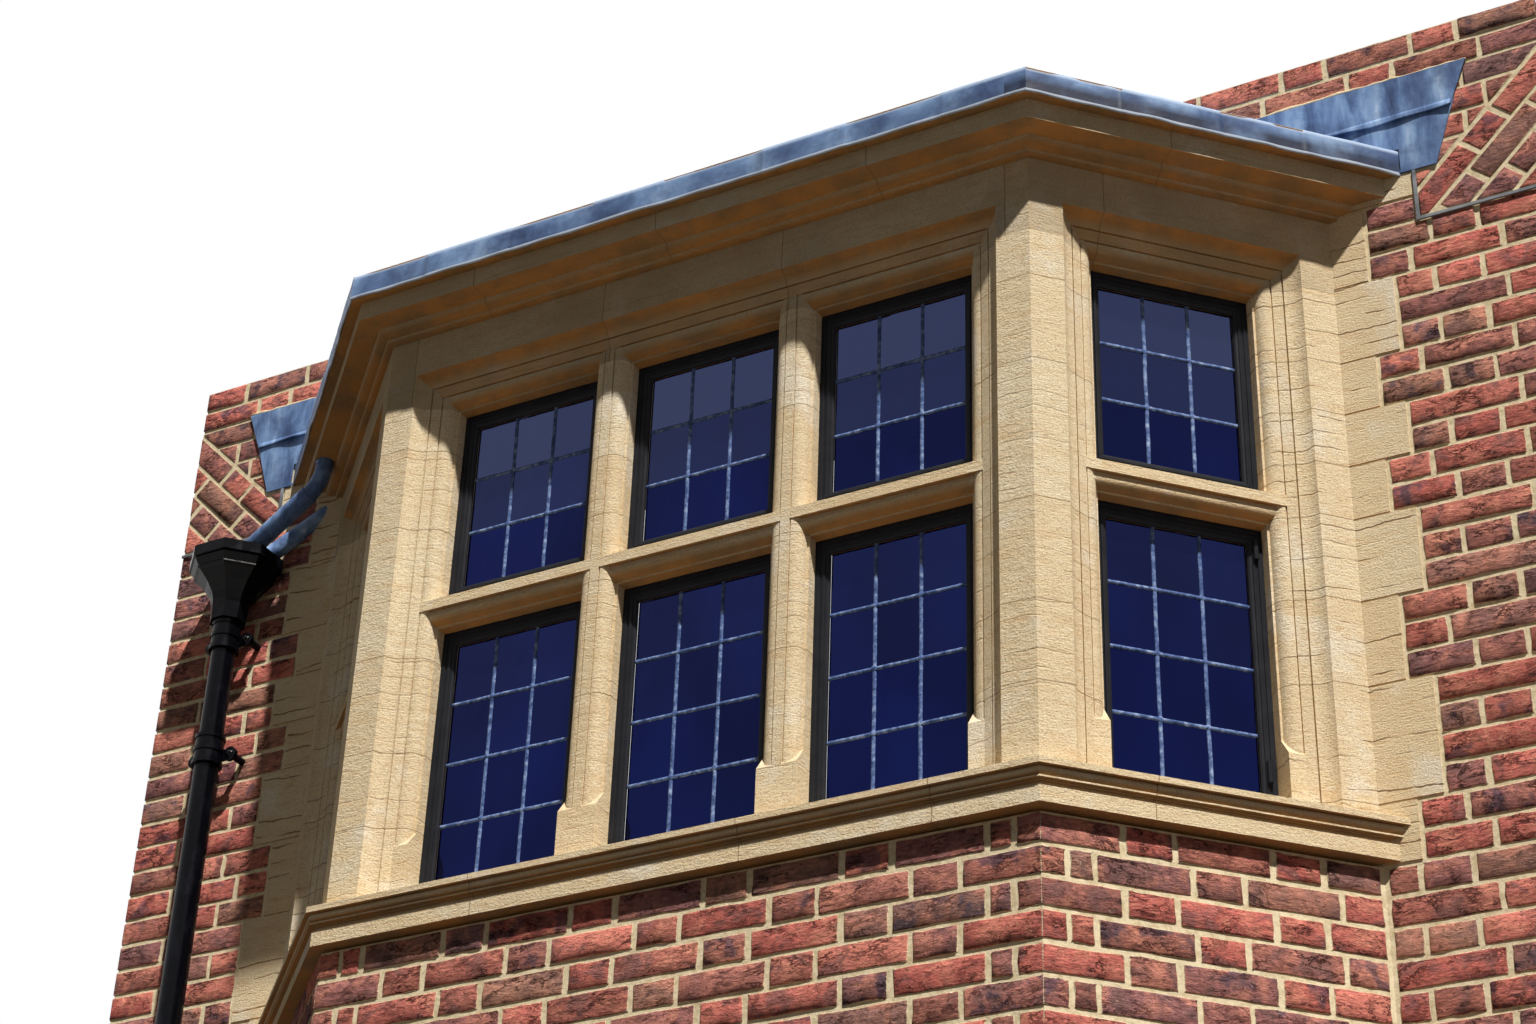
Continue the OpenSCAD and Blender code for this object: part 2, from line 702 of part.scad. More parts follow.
// Outlet pipe: out of the left cant's soffit, round a bend, into a wider pipe that ends in the
// hopper head. In the pipe's own frame x points along its run and z up, with the legs'
// centre lines crossing at the origin.
module outlet_pipe() color("slategray") {
    from_wall = 117;
    out = (bed_mould + corona) / 2;
    drop = 70;
    bend_r = 100;
    wide_r = outlet_r + 3;
    cross = [-corner_x + from_wall * cos(cant_angle) - out * sin(cant_angle),
        -from_wall * sin(cant_angle) - out * cos(cant_angle), cornice_z + bed_mould_h - drop];
    way = [pipe_pos_x + 35, -pipe_y - 30, hopper_z - 15] - cross;
    run = norm([way[0], way[1]]);
    turn = atan2(run, -way[2]);
    leg = bend_r * tan(turn / 2);
    lap = 5;
    translate(cross) rotate(atan2(way[1], way[0])) difference() {
        union() {
            translate([0, 0, leg - lap]) cylinder(h = drop - leg + lap, r = outlet_r + 1.5);
            translate([bend_r, 0, leg]) rotate([90, 0, 0]) rotate(180)
                rotate_extrude(angle = turn) translate([bend_r, 0]) circle(outlet_r);
            rotate([0, 180 - turn, 0]) translate([0, 0, leg - lap])
                cylinder(h = norm(way) - leg + lap, r = wide_r);
        }
        rotate([0, 180 - turn, 0]) translate([0, 0, leg + 40]) cylinder(h = norm(way), r = wide_r - pipe_wall);
    }
    overflow_pipe([-corner_x - 107, 0, hopper_z + 117], [pipe_pos_x + 79, -60, hopper_z - 8]);
}

// Short overflow pipe from the wall at the point a down over the hopper head to b.
module overflow_pipe(a, b) difference() {
    way = b - a;
    l = norm(way);
    translate(a) rotate([0, acos(way[2] / l), atan2(way[1], way[0])]) difference() {
        translate([0, 0, -l]) cylinder(h = 2 * l, r = outlet_r);
        translate([0, 0, l - outlet_d]) cylinder(h = l, r = outlet_r - pipe_wall);
    }
    translate(a - [2 * l, 0, 2 * l]) cube(4 * l);
}

// Eight-sided funnel with the profile of its outside, (half width across flats, height).
module octagon_funnel(profile) rotate(22.5) rotate_extrude($fn = 8)
    polygon([for (p = profile) [p[0] / cos(22.5), p[1]]]);

// Hopper head: round neck, long funnel, bell, two ridges and a deep rim, cut off at the wall.
module hopper_head() color(iron) translate([pipe_pos_x, -pipe_y, hopper_neck_z]) {
    half = hopper_w / 2;
    t = pipe_wall;
    h = hopper_h;
    foot = pipe_r + 15;
    bell = [[foot, neck_h], [foot + 4, h - 150], [foot + 10, h - 128], [half - 52, h - 98],
        [half - 26, h - 70]];
    ridges = [[half - 16, h - 64], [half - 18, h - 58], [half - 6, h - 38], [half - 8, h - 34]];
    difference() {
        union() {
            intersection() {
                octagon_funnel(concat([[0, neck_h]], bell, ridges, [[half, h - 32], [half, h], [0, h]]));
                translate([-half - over, -half - over, 0])
                    cube([hopper_w + 2 * over, half + over + pipe_y, h]);
            }
            cylinder(h = neck_h + t, r = pipe_r);
        }
        translate([0, 0, -1]) cylinder(h = neck_h + t + 2, r = pipe_r - t);
        intersection() {
            octagon_funnel(concat([[0, neck_h + t]], [for (p = bell) [p[0] - t, p[1] + t]],
                [[half - 18 - t, h - 53], [half - t, h - 22], [half - t, h + 1], [0, h + 1]]));
            translate([-half, -half, 0]) cube([hopper_w, half + pipe_y - t, h + 2]);
        }
    }
}

module downpipe() color(iron) translate([pipe_pos_x, -pipe_y, 0]) difference() {
    cylinder(h = hopper_neck_z, r = pipe_r);
    translate([0, 0, -1]) cylinder(h = hopper_neck_z + 2, r = pipe_r - pipe_wall);
}

// Collar round the downpipe from the height z up: three beads, and two ears bolted to the wall
// through spacers.
module collar(z) translate([pipe_pos_x, -pipe_y, z]) {
    r = pipe_r + collar_t;
    bead_h = collar_h / 8;
    ear_z = 0.4 * collar_h;
    ear_y = pipe_y - ear_gap;
    difference() {
        union() {
            cylinder(h = collar_h, r = r);
            for (b = [0, 0.5, 1]) translate([0, 0, b * (collar_h - bead_h)])
                cylinder(h = bead_h, r = r + collar_bead);
            translate([-ear_x, ear_y - ear_t, ear_z - ear_r + 5])
                cube([2 * ear_x, ear_t, 2 * ear_r - 10]);
            for (s = [-1, 1]) translate([s * ear_x, ear_y, ear_z])
                rotate([90, 0, 0]) cylinder(h = ear_t, r = ear_r);
        }
        translate([0, 0, -1]) cylinder(h = collar_h + 2, r = pipe_r + 0.3);
    }
    for (s = [-1, 1]) translate([s * ear_x, pipe_y, ear_z])
        rotate([90, 0, 0]) cylinder(h = ear_gap, r = ear_r / 2);
}

module pipe_collars() color(iron) {
    collar(hopper_neck_z + neck_h - 1 - collar_h);
    collar(hopper_neck_z - collar_drop - collar_h / 2);
}

apron_front();
apron_left();
apron_right();
house_wall_left();
house_wall_right();
house_wall_over();
lintel_beam();
floor();
quoins_left();
quoins_right();
sill_front();
sill_left();
sill_right();
corner_pier_left();
corner_pier_right();
wall_jamb_left();
wall_jamb_right();
mullion_left();
mullion_right();
transom_front();
transom_left();
transom_right();
head_front();
head_left();
head_right();
cornice_front();
cornice_left();
cornice_right();
roof_deck();
lead_roof();
cover_flashing();
side_flashings();
damp_course();
ceiling();
frames_front_lower();
frames_front_upper();
frames_left();
frames_right();
glass_lower();
glass_upper();
outlet_pipe();
hopper_head();
downpipe();
pipe_collars();
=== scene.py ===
import math

import bpy
import numpy as np
from bpy.props import FloatProperty, FloatVectorProperty, PointerProperty
from mathutils import Matrix, Vector


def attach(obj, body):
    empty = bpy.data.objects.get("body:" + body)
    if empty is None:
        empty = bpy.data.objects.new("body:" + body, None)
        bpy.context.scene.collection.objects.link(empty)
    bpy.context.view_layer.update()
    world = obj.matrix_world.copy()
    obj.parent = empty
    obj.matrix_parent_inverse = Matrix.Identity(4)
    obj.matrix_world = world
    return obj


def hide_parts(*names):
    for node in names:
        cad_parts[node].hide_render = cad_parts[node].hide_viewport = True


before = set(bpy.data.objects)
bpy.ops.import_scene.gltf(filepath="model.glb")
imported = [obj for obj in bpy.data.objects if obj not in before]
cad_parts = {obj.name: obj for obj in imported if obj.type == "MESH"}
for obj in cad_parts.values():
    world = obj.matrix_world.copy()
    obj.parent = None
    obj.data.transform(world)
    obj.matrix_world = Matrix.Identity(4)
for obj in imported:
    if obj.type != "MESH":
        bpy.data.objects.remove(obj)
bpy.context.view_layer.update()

bl_info = {
    "name": "Canted Bay Window",
    "version": (1, 0, 0),
    "blender": (4, 5, 0),
    "location": "View3D > Sidebar > Bay Window",
    "description": "Dresses a stone bay window with brickwork, leaded lights, leadwork and rainwater goods",
    "category": "Object",
}

# Sizes in metres, in the frame of the model: the wall's outer face is Y = 0 and the base is Z = 0.
# Brickwork: a course, half a bed joint and an upright joint; a brick's long and short face; the width
# and depth of its worn edge, and how deep its sides run into the bed.
COURSE, BED, JOINT = 0.075, 0.0056, 0.013
STRETCHER, HEADER = 0.2165, 0.1065
RIM, ARRIS, SUNK = 0.0035, 0.0026, 0.012
# Courses: of the apron; of the house wall, the first beside the tumbled field, the first over the
# flashing, and all of them.
APRON_COURSES = 12
SHOULDER, COVER, WALL_COURSES = 35, 41, 43
# The bay's plan, and the strip of house wall that carries it.
FRONT_W = 1.888
CANT_W = 0.812
TURN = math.radians(45)
OUT = CANT_W * math.sin(TURN)
CORNER_X = FRONT_W / 2 + CANT_W * math.cos(TURN)
STRIP_X = CORNER_X + 0.582
WALL_T = 0.330
WALL_Z = 3.225
HALF_MITRE = math.tan(TURN / 2)
# Where the Flemish bond of the wall starts, and the outer end of the side flashing's level arm.
BOND_X = CORNER_X + 0.032
ARM_X = CORNER_X + 0.226
# The tumbled field: its bottom and top, and a point of the slanting line that its courses run up to.
FIELD_Z = (2.636, 3.071)
FIELD_FOOT = (1.790, 2.752)
# The lights: their width, spacing and heights, and how deep the frame and the glass lie.
LIGHT_W = 0.432
LIGHT_PITCH = 0.538
LOWER = (1.038, 1.794)
UPPER = (1.896, 2.464)
FRAME_DEPTH = 0.108
GLASS_DEPTH = FRAME_DEPTH + 0.0172
# The hinges of the opening light: how far right of its middle, and their feet.
HINGE_X, HINGE_Z = 0.197, (1.12, 1.71)
# The lead roof: top of the deck, overhang of the roof and of its drip, height at the edge, and slope.
DECK_Z = 2.785
LEAD_EDGE = 0.143
DRIP_OUT = LEAD_EDGE - 0.0048
ROOF_Z = DECK_Z + 0.068
ROOF_SLOPE = math.tan(math.radians(10))
# The cover flashing's chase and lower edge, and the plate of lead behind it: how far out along the
# wall it starts and ends, the foot at each end, and its top.
FLASH_Z = 3.080
FLASH_LOW = FLASH_Z - 0.128
UPSTAND_X, UPSTAND_FOOT, UPSTAND_TOP = (0.90, 1.41), (2.9475, 2.8870), 2.960
# The quoin stones as (first course, course above, width of the tooth).
QUOIN_COURSES = [(12, 14, 0.088), (14, 18, 0.150), (18, 21, 0.088), (21, 24, 0.150), (24, 26, 0.088),
                 (26, 28, 0.150), (28, 30, 0.088), (30, 33, 0.150), (33, 36, 0.088), (36, 37, 0.222)]
# The drip of the lead roof from the roof's edge to the hem, as (in from the edge, down, kicked out).
DRIP = [(0.03, 0, 0), (0.012, 0, 0), (0.004, 0.001, 0), (0.0005, 0.005, 0), (0, 0.013, 0),
        (0, 0.024, 0), (0, 0.036, 0), (0, 0.048, 0), (0, 0.058, -0.0003), (0, 0.068, -0.0008),
        (0, 0.0770, -0.0012), (0.0006, 0.0810, -0.0010), (0.0022, 0.0815, -0.0006),
        (0.0030, 0.0805, 0), (0.0030, 0.066, 0), (0.008, 0.062, 0), (0.008, 0.03, 0)]
# The downpipe's middle, and the ears of its collars: how far out, their front face and heights.
PIPE_X = -CORNER_X - 0.301
EAR_OUT, EAR_FACE, EAR_Z = 0.062, -0.060, (2.2278, 1.8568)
# A bolt's washer, shank and domed head as (place along it, radius), and its length.
BOLT = [(0.0, 0.0125), (0.25, 0.0125), (0.27, 0.0085), (0.75, 0.0085), (0.92, 0.0065), (1.0, 0.003)]
BOLT_L = 0.013


def vec(x, y, z):
    return np.array([x, y, z], float)


class Plane:
    """A flat face to build on: a point of it, its along and up directions, and its outward normal."""

    def __init__(self, origin, along, up, out):
        self.origin, self.along, self.up, self.out = (np.array(v, float) for v in (origin, along, up, out))

    def at(self, a, b, depth):
        """Points at a along, b up and depth behind the face, each an array of one shape."""
        return (self.origin + a[..., None] * self.along + b[..., None] * self.up
                - np.asarray(depth)[..., None] * self.out)


C, S = math.cos(TURN), math.sin(TURN)
MID_X = (FRONT_W / 2 + CORNER_X) / 2
FRONT = Plane((0, -OUT, 0), (1, 0, 0), (0, 0, 1), (0, -1, 0))
RIGHT = Plane((MID_X, -OUT / 2, 0), (C, S, 0), (0, 0, 1), (S, -C, 0))
LEFT = Plane((-MID_X, -OUT / 2, 0), (C, -S, 0), (0, 0, 1), (-S, -C, 0))
WALL = Plane((0, 0, 0), (1, 0, 0), (0, 0, 1), (0, -1, 0))
END_RIGHT = Plane((STRIP_X, WALL_T / 2, 0), (0, 1, 0), (0, 0, 1), (1, 0, 0))
END_LEFT = Plane((-STRIP_X, WALL_T / 2, 0), (0, -1, 0), (0, 0, 1), (-1, 0, 0))
TOP = Plane((0, 0, WALL_Z), (1, 0, 0), (0, 1, 0), (0, 0, 1))
LIGHTS = [(FRONT, -LIGHT_PITCH), (FRONT, 0.0), (FRONT, LIGHT_PITCH), (LEFT, 0.0), (RIGHT, 0.0)]


# Materials

def tint(r, g, b):
    """A colour written as it shows on a screen, 0 to 255, turned into the shader's linear scale."""
    c = np.array([r, g, b]) / 255.0
    c = np.where(c <= 0.04045, c / 12.92, ((c + 0.055) / 1.055) ** 2.4)
    return (*c.tolist(), 1.0)


def opaque(colour):
    """A colour from the settings with full cover."""
    return tuple(colour) + (1.0,)


class Graph:
    """One material's nodes. The methods add nodes and hand back an output."""

    def __init__(self, name, rough=0.7, metal=0.0, specular=0.5):
        self.material = bpy.data.materials.new(name)
        self.material.use_nodes = True
        self.tree = self.material.node_tree
        self.shader = self.tree.nodes["Principled BSDF"]
        self.shader.inputs["Roughness"].default_value = rough
        self.shader.inputs["Metallic"].default_value = metal
        self.shader.inputs["Specular IOR Level"].default_value = specular
        self.place = self.add("ShaderNodeTexCoord", "Object")

    def feed(self, socket, value):
        if isinstance(value, bpy.types.NodeSocket):
            self.tree.links.new(value, socket)
        else:
            socket.default_value = value

    def add(self, kind, out=0, feeds=None, **settings):
        node = self.tree.nodes.new(kind)
        for key, value in settings.items():
            setattr(node, key, value)
        for key, value in (feeds or {}).items():
            self.feed(node.inputs[key], value)
        return node.outputs[out]

    def math(self, operation, a, b=0.0, c=0.0):
        return self.add("ShaderNodeMath", 0, {0: a, 1: b, 2: c}, operation=operation)

    def noise(self, scale, detail=3.0, rough=0.5, place=None, twist=0.0):
        return self.add("ShaderNodeTexNoise", "Fac", {"Vector": place or self.place, "Scale": scale,
                        "Detail": detail, "Roughness": rough, "Distortion": twist})

    def stretch(self, x, y, z, place=None, turn=0.0):
        return self.add("ShaderNodeMapping", 0, {"Vector": place or self.place, "Scale": (x, y, z),
                        "Rotation": (0.0, 0.0, turn)})

    def axis(self, name, place=None):
        return self.add("ShaderNodeSeparateXYZ", name, {0: place or self.place})

    def ramp(self, value, stops):
        """A colour or grey for each value from 0 to 1; stops is a list of (place, colour)."""
        node = self.tree.nodes.new("ShaderNodeValToRGB")
        points = node.color_ramp.elements
        while len(points) < len(stops):
            points.new(0.5)
        for point, (at, colour) in zip(points, stops):
            point.position = at
            point.color = colour if hasattr(colour, "__len__") else (colour, colour, colour, 1.0)
        self.feed(node.inputs[0], value)
        return node.outputs[0]

    def mix(self, share, a, b):
        return self.add("ShaderNodeMix", 2, {0: share, 6: a, 7: b}, data_type="RGBA")

    def times(self, a, b):
        return self.math("MULTIPLY", a, b)

    def span(self, value, low, high, to_low, to_high):
        """Carries the range from low to high onto the range from to_low to to_high."""
        return self.add("ShaderNodeMapRange", 0, {0: value, 1: low, 2: high, 3: to_low, 4: to_high})

    def rise(self, value, low, high):
        """0 below low, 1 above high."""
        return self.ramp(value, [(low, 0.0), (high, 1.0)])

    def fall(self, value, low, high):
        """1 below low, 0 above high."""
        return self.ramp(value, [(low, 1.0), (high, 0.0)])

    def wash(self, colour, where, strength, over):
        """Lays the colour over on the first colour, with the given strength where the mask is 1."""
        return self.mix(self.times(where, strength), colour, over)

    def bump(self, height, distance, strength=1.0, under=None):
        feeds = {"Height": height, "Distance": distance, "Strength": strength}
        if under is not None:
            feeds["Normal"] = under
        return self.add("ShaderNodeBump", 0, feeds)

    def done(self, colour=None, rough=None, normal=None):
        for key, value in (("Base Color", colour), ("Roughness", rough), ("Normal", normal)):
            if value is not None:
                self.feed(self.shader.inputs[key], value)
        return self.material


def brick_material(look):
    """Fired clay: a colour for each brick from its tone, burnt blue patches, a creased and crinkled
    face whose folds and pocks are painted dark as shade, a lightness that rises and falls with its coarse
    relief, partly the bricks' own mottle and partly painted highlight and shade, and mortar smeared
    unevenly over the arrises. Tone's red is the kind of brick, its green the brick's lightness, its blue a
    chance shift, and its alpha is 1 on the arris."""
    g = Graph("fired_clay", rough=0.9, specular=0.02)
    tone = g.add("ShaderNodeAttribute", "Color", attribute_name="tone")
    edge = tone.node.outputs["Alpha"]
    kind, shade, shift = (g.add("ShaderNodeSeparateColor", i, {0: tone}) for i in range(3))
    moved = g.add("ShaderNodeVectorMath", 0, {0: tone, 1: (9, 7, 5), 2: g.place}, operation="MULTIPLY_ADD")
    run = g.stretch(1.0, 1.0, 2.6, moved)
    body = g.ramp(kind, [(0.0, tint(214, 112, 86)), (0.12, tint(200, 88, 70)),
                         (0.30, opaque(look.brick_red)), (0.46, opaque(look.brick_brown)),
                         (0.62, tint(160, 94, 86)), (0.76, tint(146, 90, 88)),
                         (0.88, tint(172, 116, 92)), (1.0, tint(122, 84, 90))])
    patch = g.noise(13.0, 3.0, 0.6, place=moved, twist=0.5)
    body = g.wash(body, g.rise(patch, 0.50, 0.62), 0.55, tint(210, 124, 92))
    body = g.wash(body, g.fall(patch, 0.36, 0.47), 0.65, tint(116, 84, 82))
    burnt = g.rise(g.noise(20.0, 2.0, 0.5, place=moved), 0.54, 0.62)
    burnt = g.times(burnt, g.math("GREATER_THAN", shift, 0.72))
    body = g.wash(body, burnt, 0.60, tint(62, 66, 88))
    coarse = g.noise(42.0, 5.0, 0.72, place=run, twist=0.4)
    # The coarse noise that raises the face also sets its lightness: partly the bricks' own mottle, partly a
    # painted highlight on the rises and painted shade in the hollows.
    value = g.times(g.span(shade, 0.0, 1.0, 1.10, 1.52), g.span(coarse, 0.25, 0.75, 0.62, 1.46))
    body = g.add("ShaderNodeHueSaturation", 0, {"Saturation": 0.85, "Value": value, "Color": body})
    # Painted shade: the folds and the pocks of the face are painted near black, as if shade lay in them.
    fold = g.math("ABSOLUTE", g.math("SUBTRACT", g.noise(11.0, 6.0, 0.72, place=run, twist=0.4), 0.5))
    folded = g.rise(g.noise(15.0, 2.0, 0.5, place=moved), 0.41, 0.60)
    fold = g.times(g.fall(fold, 0.008, 0.030), folded)
    pock = g.fall(g.noise(75.0, 4.0, 0.7, place=g.stretch(1.0, 1.0, 1.8, moved)), 0.33, 0.39)
    dark = g.math("MAXIMUM", g.times(fold, 0.85), g.times(pock, 0.60))
    body = g.mix(dark, body, tint(44, 26, 28))
    lime = g.rise(g.noise(110.0, 3.0, 0.6, place=moved), 0.66, 0.71)
    body = g.wash(body, lime, 0.5, tint(226, 196, 164))
    smear = g.math("ADD", edge, g.times(g.noise(85.0, 5.0, 0.75), 1.6))
    body = g.mix(g.rise(g.times(smear, 0.5), 0.75, 0.79), body, opaque(look.mortar))
    normal = g.bump(dark, -0.0040, 1.0)
    normal = g.bump(coarse, 0.0110, 1.0, normal)
    normal = g.bump(g.noise(230.0, 4.0, 0.75), 0.0022, 0.9, normal)
    return g.done(body, None, normal)


def mortar_material(look):
    """Cream lime mortar, struck nearly flush: sandy, a little darker where it has washed out."""
    g = Graph("lime_mortar", rough=0.95, specular=0.02)
    whole = g.rise(g.noise(48.0, 5.0, 0.7), 0.32, 0.56)
    colour = g.mix(whole, tint(206, 186, 148), opaque(look.mortar))
    grit = g.fall(g.noise(300.0, 2.0, 0.6), 0.30, 0.40)
    colour = g.wash(colour, grit, 0.35, tint(150, 128, 96))
    normal = g.bump(g.noise(42.0, 5.0, 0.7), 0.0045, 0.6)
    return g.done(colour, None, g.bump(g.noise(420.0, 2.0, 0.6), 0.0010, 0.7, normal))


def stone_material(name, look, axis, turn, joints, warmth, beds, grey):
    """Dressed limestone: blocks of slightly different tone between the joints, bedding streaks, open
    cracks along the bed and small pits, both painted darker as shade, and fine tooling; undersides
    painted a mottled warm honey shade that stands in for the light bounced up onto them. Joints lie at
    the given places along one axis, after a turn about Z. Warmth shifts the tone to honey, beds is the
    strength of the bedding and of the painted shade in the cracks, and grey that of a grey tint laid
    in broad patches."""
    g = Graph(name, rough=0.9, specular=0.02)
    run = g.axis(axis, g.stretch(1.0, 1.0, 1.0, turn=turn))
    swayed = g.math("ADD", run, g.math("MULTIPLY_ADD", g.noise(9.0, 2.0), 0.005, -0.0025))
    block, line = 0.37, 0.0
    for place in joints:
        block = g.math("ADD", block, g.math("GREATER_THAN", swayed, place))
        line = g.math("MAXIMUM", line, g.math("COMPARE", swayed, place, 0.0011))
    chance = g.add("ShaderNodeTexWhiteNoise", "Color", {"W": block}, noise_dimensions="1D")
    tone = g.add("ShaderNodeSeparateColor", 0, {0: chance})
    moved = g.add("ShaderNodeVectorMath", 0, {0: g.place, 1: (1, 1, 1), 2: chance}, operation="MULTIPLY_ADD")
    cream, honey = opaque(look.stone_pale), opaque(look.stone_honey)
    cloud = g.noise(3.4, 4.0, 0.62, place=moved)
    share = g.math("MULTIPLY_ADD", tone, 0.22, g.math("MULTIPLY_ADD", cloud, 0.55, warmth - 0.16))
    colour = g.mix(share, cream, honey)
    streak = g.noise(7.0, 5.0, 0.65, place=g.stretch(1.0, 1.0, 6.0, moved), twist=0.3)
    colour = g.wash(colour, g.rise(streak, 0.48, 0.70), 0.55, honey)
    rust = g.noise(9.0, 4.0, 0.7, place=g.stretch(1.0, 1.0, 3.4, moved), twist=0.6)
    colour = g.wash(colour, g.rise(rust, 0.58, 0.74), 0.55 * beds + 0.18, tint(206, 150, 88))
    pale = g.rise(g.noise(5.0, 4.0, 0.65), 0.54, 0.66)
    colour = g.wash(colour, pale, 0.6, tint(250, 243, 226))
    # A grey tint laid in broad patches, as strong as grey says.
    grey_patches = g.ramp(g.noise(2.6, 4.0, 0.6, place=moved), [(0.36, 0.35), (0.60, 1.0)])
    colour = g.wash(colour, grey_patches, grey, tint(146, 138, 120))
    # Painted shade on undersides: faces that look down are washed a mottled warm honey, standing in for the
    # light bounced up onto them.
    underside_mottle = g.rise(g.noise(6.0, 4.0, 0.65, place=g.stretch(1.0, 1.0, 1.6)), 0.42, 0.62)
    brown = g.mix(underside_mottle, tint(204, 138, 66), tint(150, 112, 72))
    down = g.times(g.axis("Z", g.add("ShaderNodeNewGeometry", "Normal")), -1.0)
    colour = g.wash(colour, g.rise(down, 0.15, 0.75), 0.85, brown)
    bed = g.math("ADD", g.axis("Z"), g.times(g.noise(4.0, 5.0, 0.62, place=moved), 0.060))
    wave = g.math("ABSOLUTE", g.math("SUBTRACT", g.math("FRACT", g.times(bed, 23.0)), 0.5))
    cracked = g.rise(g.noise(6.0, 3.0, 0.55, place=g.stretch(0.7, 0.7, 5.0, moved)), 0.51, 0.58)
    crack = g.times(g.fall(wave, 0.026, 0.066), cracked)
    # Painted shade in the pits: they are washed darker as well as bumped in.
    pits = g.fall(g.noise(110.0, 3.0, 0.62, place=g.stretch(1.0, 1.0, 2.2)), 0.25, 0.34)
    colour = g.wash(colour, pits, 0.45, tint(168, 132, 88))
    # Painted shade in the open cracks: they are washed dark as well as bumped in.
    colour = g.wash(colour, crack, beds, tint(128, 88, 52))
    grain = g.noise(210.0, 3.0, 0.7)
    colour = g.mix(g.ramp(grain, [(0.34, 0.50), (0.52, 0.0)]), colour, tint(178, 146, 104))
    colour = g.wash(colour, line, 0.85, tint(150, 120, 84))
    fibre = g.noise(60.0, 5.0, 0.72, place=g.stretch(0.3, 0.3, 2.4))
    colour = g.mix(g.ramp(fibre, [(0.30, 0.32), (0.50, 0.0)]), colour, tint(196, 152, 98))
    tooled = g.noise(230.0, 3.0, 0.6, place=g.stretch(0.3, 0.3, 1.2))
    normal = g.bump(g.math("MAXIMUM", line, g.times(crack, min(1.0, beds * 1.6))), -0.0020, 1.0)
    normal = g.bump(pits, -0.0014, 0.9, normal)
    normal = g.bump(g.noise(26.0, 5.0, 0.65), 0.0030, 0.8, normal)
    normal = g.bump(fibre, 0.0020, 0.7, g.bump(tooled, 0.0018, 0.8, normal))
    normal = g.bump(grain, 0.0024, 1.0, normal)
    return g.done(colour, None, normal)


def lead_material(name, down=(3.0, 3.0, 0.8), edge=None):
    """Weathered sheet lead: blue-grey with pale oxide and dark streaks that run down it. A drip is
    given the height of its edge: painted shade darkens its lower half, most of all on the right cant,
    and painted highlights run along its crest and its hem."""
    g = Graph(name, rough=0.5, specular=0.18)
    streaks = g.noise(6.0, 4.0, 0.6, place=g.stretch(*down), twist=0.3)
    colour = g.ramp(streaks, [(0.26, tint(40, 52, 86)), (0.40, tint(84, 110, 154)),
                              (0.54, tint(122, 152, 196)), (0.66, tint(152, 180, 216)),
                              (0.80, tint(214, 226, 240))])
    stain = g.rise(g.noise(7.0, 4.0, 0.65), 0.46, 0.64)
    colour = g.wash(colour, stain, 0.65, tint(54, 70, 108))
    if edge:
        # Painted shade: the lower half of the drip is darkened, most of all on the right cant.
        low = g.math("MULTIPLY_ADD", g.axis("Z"), -1.0 / 0.028, (edge + 0.038) / 0.028)
        side = g.math("MULTIPLY_ADD", g.math("GREATER_THAN", g.axis("X"), FRONT_W / 2), 0.7, 0.3)
        patch = g.ramp(g.noise(5.0, 4.0, 0.6, place=g.stretch(1.0, 1.0, 0.5)), [(0.34, 0.45), (0.56, 1.0)])
        low = g.times(g.times(g.rise(low, 0.0, 1.0), side), patch)
        colour = g.mix(low, colour, tint(26, 33, 56))
        # Painted highlight: a pale band along the crest where the sheet rolls over the edge.
        crest = g.math("MULTIPLY_ADD", g.axis("Z"), 50.0, -50.0 * (edge + 0.042))
        crest = g.ramp(crest, [(0.0, 0.0), (0.4, 0.8), (0.8, 0.8), (1.0, 0.45)])
        colour = g.mix(crest, colour, tint(178, 198, 226))
        # Painted highlight: the hem is washed pale.
        hem = g.math("LESS_THAN", g.axis("Z"), edge - 0.012)
        colour = g.wash(colour, hem, 0.75, tint(206, 218, 236))
    rough = g.math("MULTIPLY_ADD", g.noise(30.0, 3.0), 0.3, 0.36)
    normal = g.bump(g.noise(15.0, 3.0, 0.5), 0.0040, 0.7)
    return g.done(colour, rough, g.bump(g.noise(140.0, 3.0, 0.6), 0.0006, 0.6, normal))


def iron_material():
    """Cast iron under glossy black paint, with a little dust and the ripple of the casting."""
    g = Graph("black_paint", rough=0.3, specular=0.08)
    dust = g.rise(g.noise(24.0, 4.0, 0.65, place=g.stretch(1.0, 1.0, 0.4)), 0.5, 0.8)
    colour = g.wash(tint(8, 9, 14), dust, 0.3, tint(38, 40, 52))
    rough = g.math("MULTIPLY_ADD", dust, 0.3, 0.22)
    return g.done(colour, rough, g.bump(g.noise(40.0, 3.0, 0.5), 0.0010, 0.5))


def paint_material(name, colour, rough, spread):
    """Matt paint on metal: a little lighter and rougher in patches."""
    g = Graph(name, rough=rough, specular=0.05)
    wear = g.noise(18.0, 4.0, 0.6)
    shade = g.wash(colour, wear, spread, tint(120, 116, 116))
    rough = g.math("MULTIPLY_ADD", wear, 0.2, rough - 0.1)
    return g.done(shade, rough, g.bump(g.noise(90.0, 2.0), 0.0004, 0.5))


def came_material():
    """Lead cames: blue-grey, scuffed pale along their length."""
    g = Graph("lead_came", rough=0.5, specular=0.02)
    scuff = g.noise(60.0, 4.0, 0.7)
    colour = g.ramp(scuff, [(0.3, tint(46, 60, 98)), (0.5, tint(92, 114, 164)), (0.70, tint(162, 182, 216))])
    return g.done(colour, None, g.bump(scuff, 0.0010, 0.6))


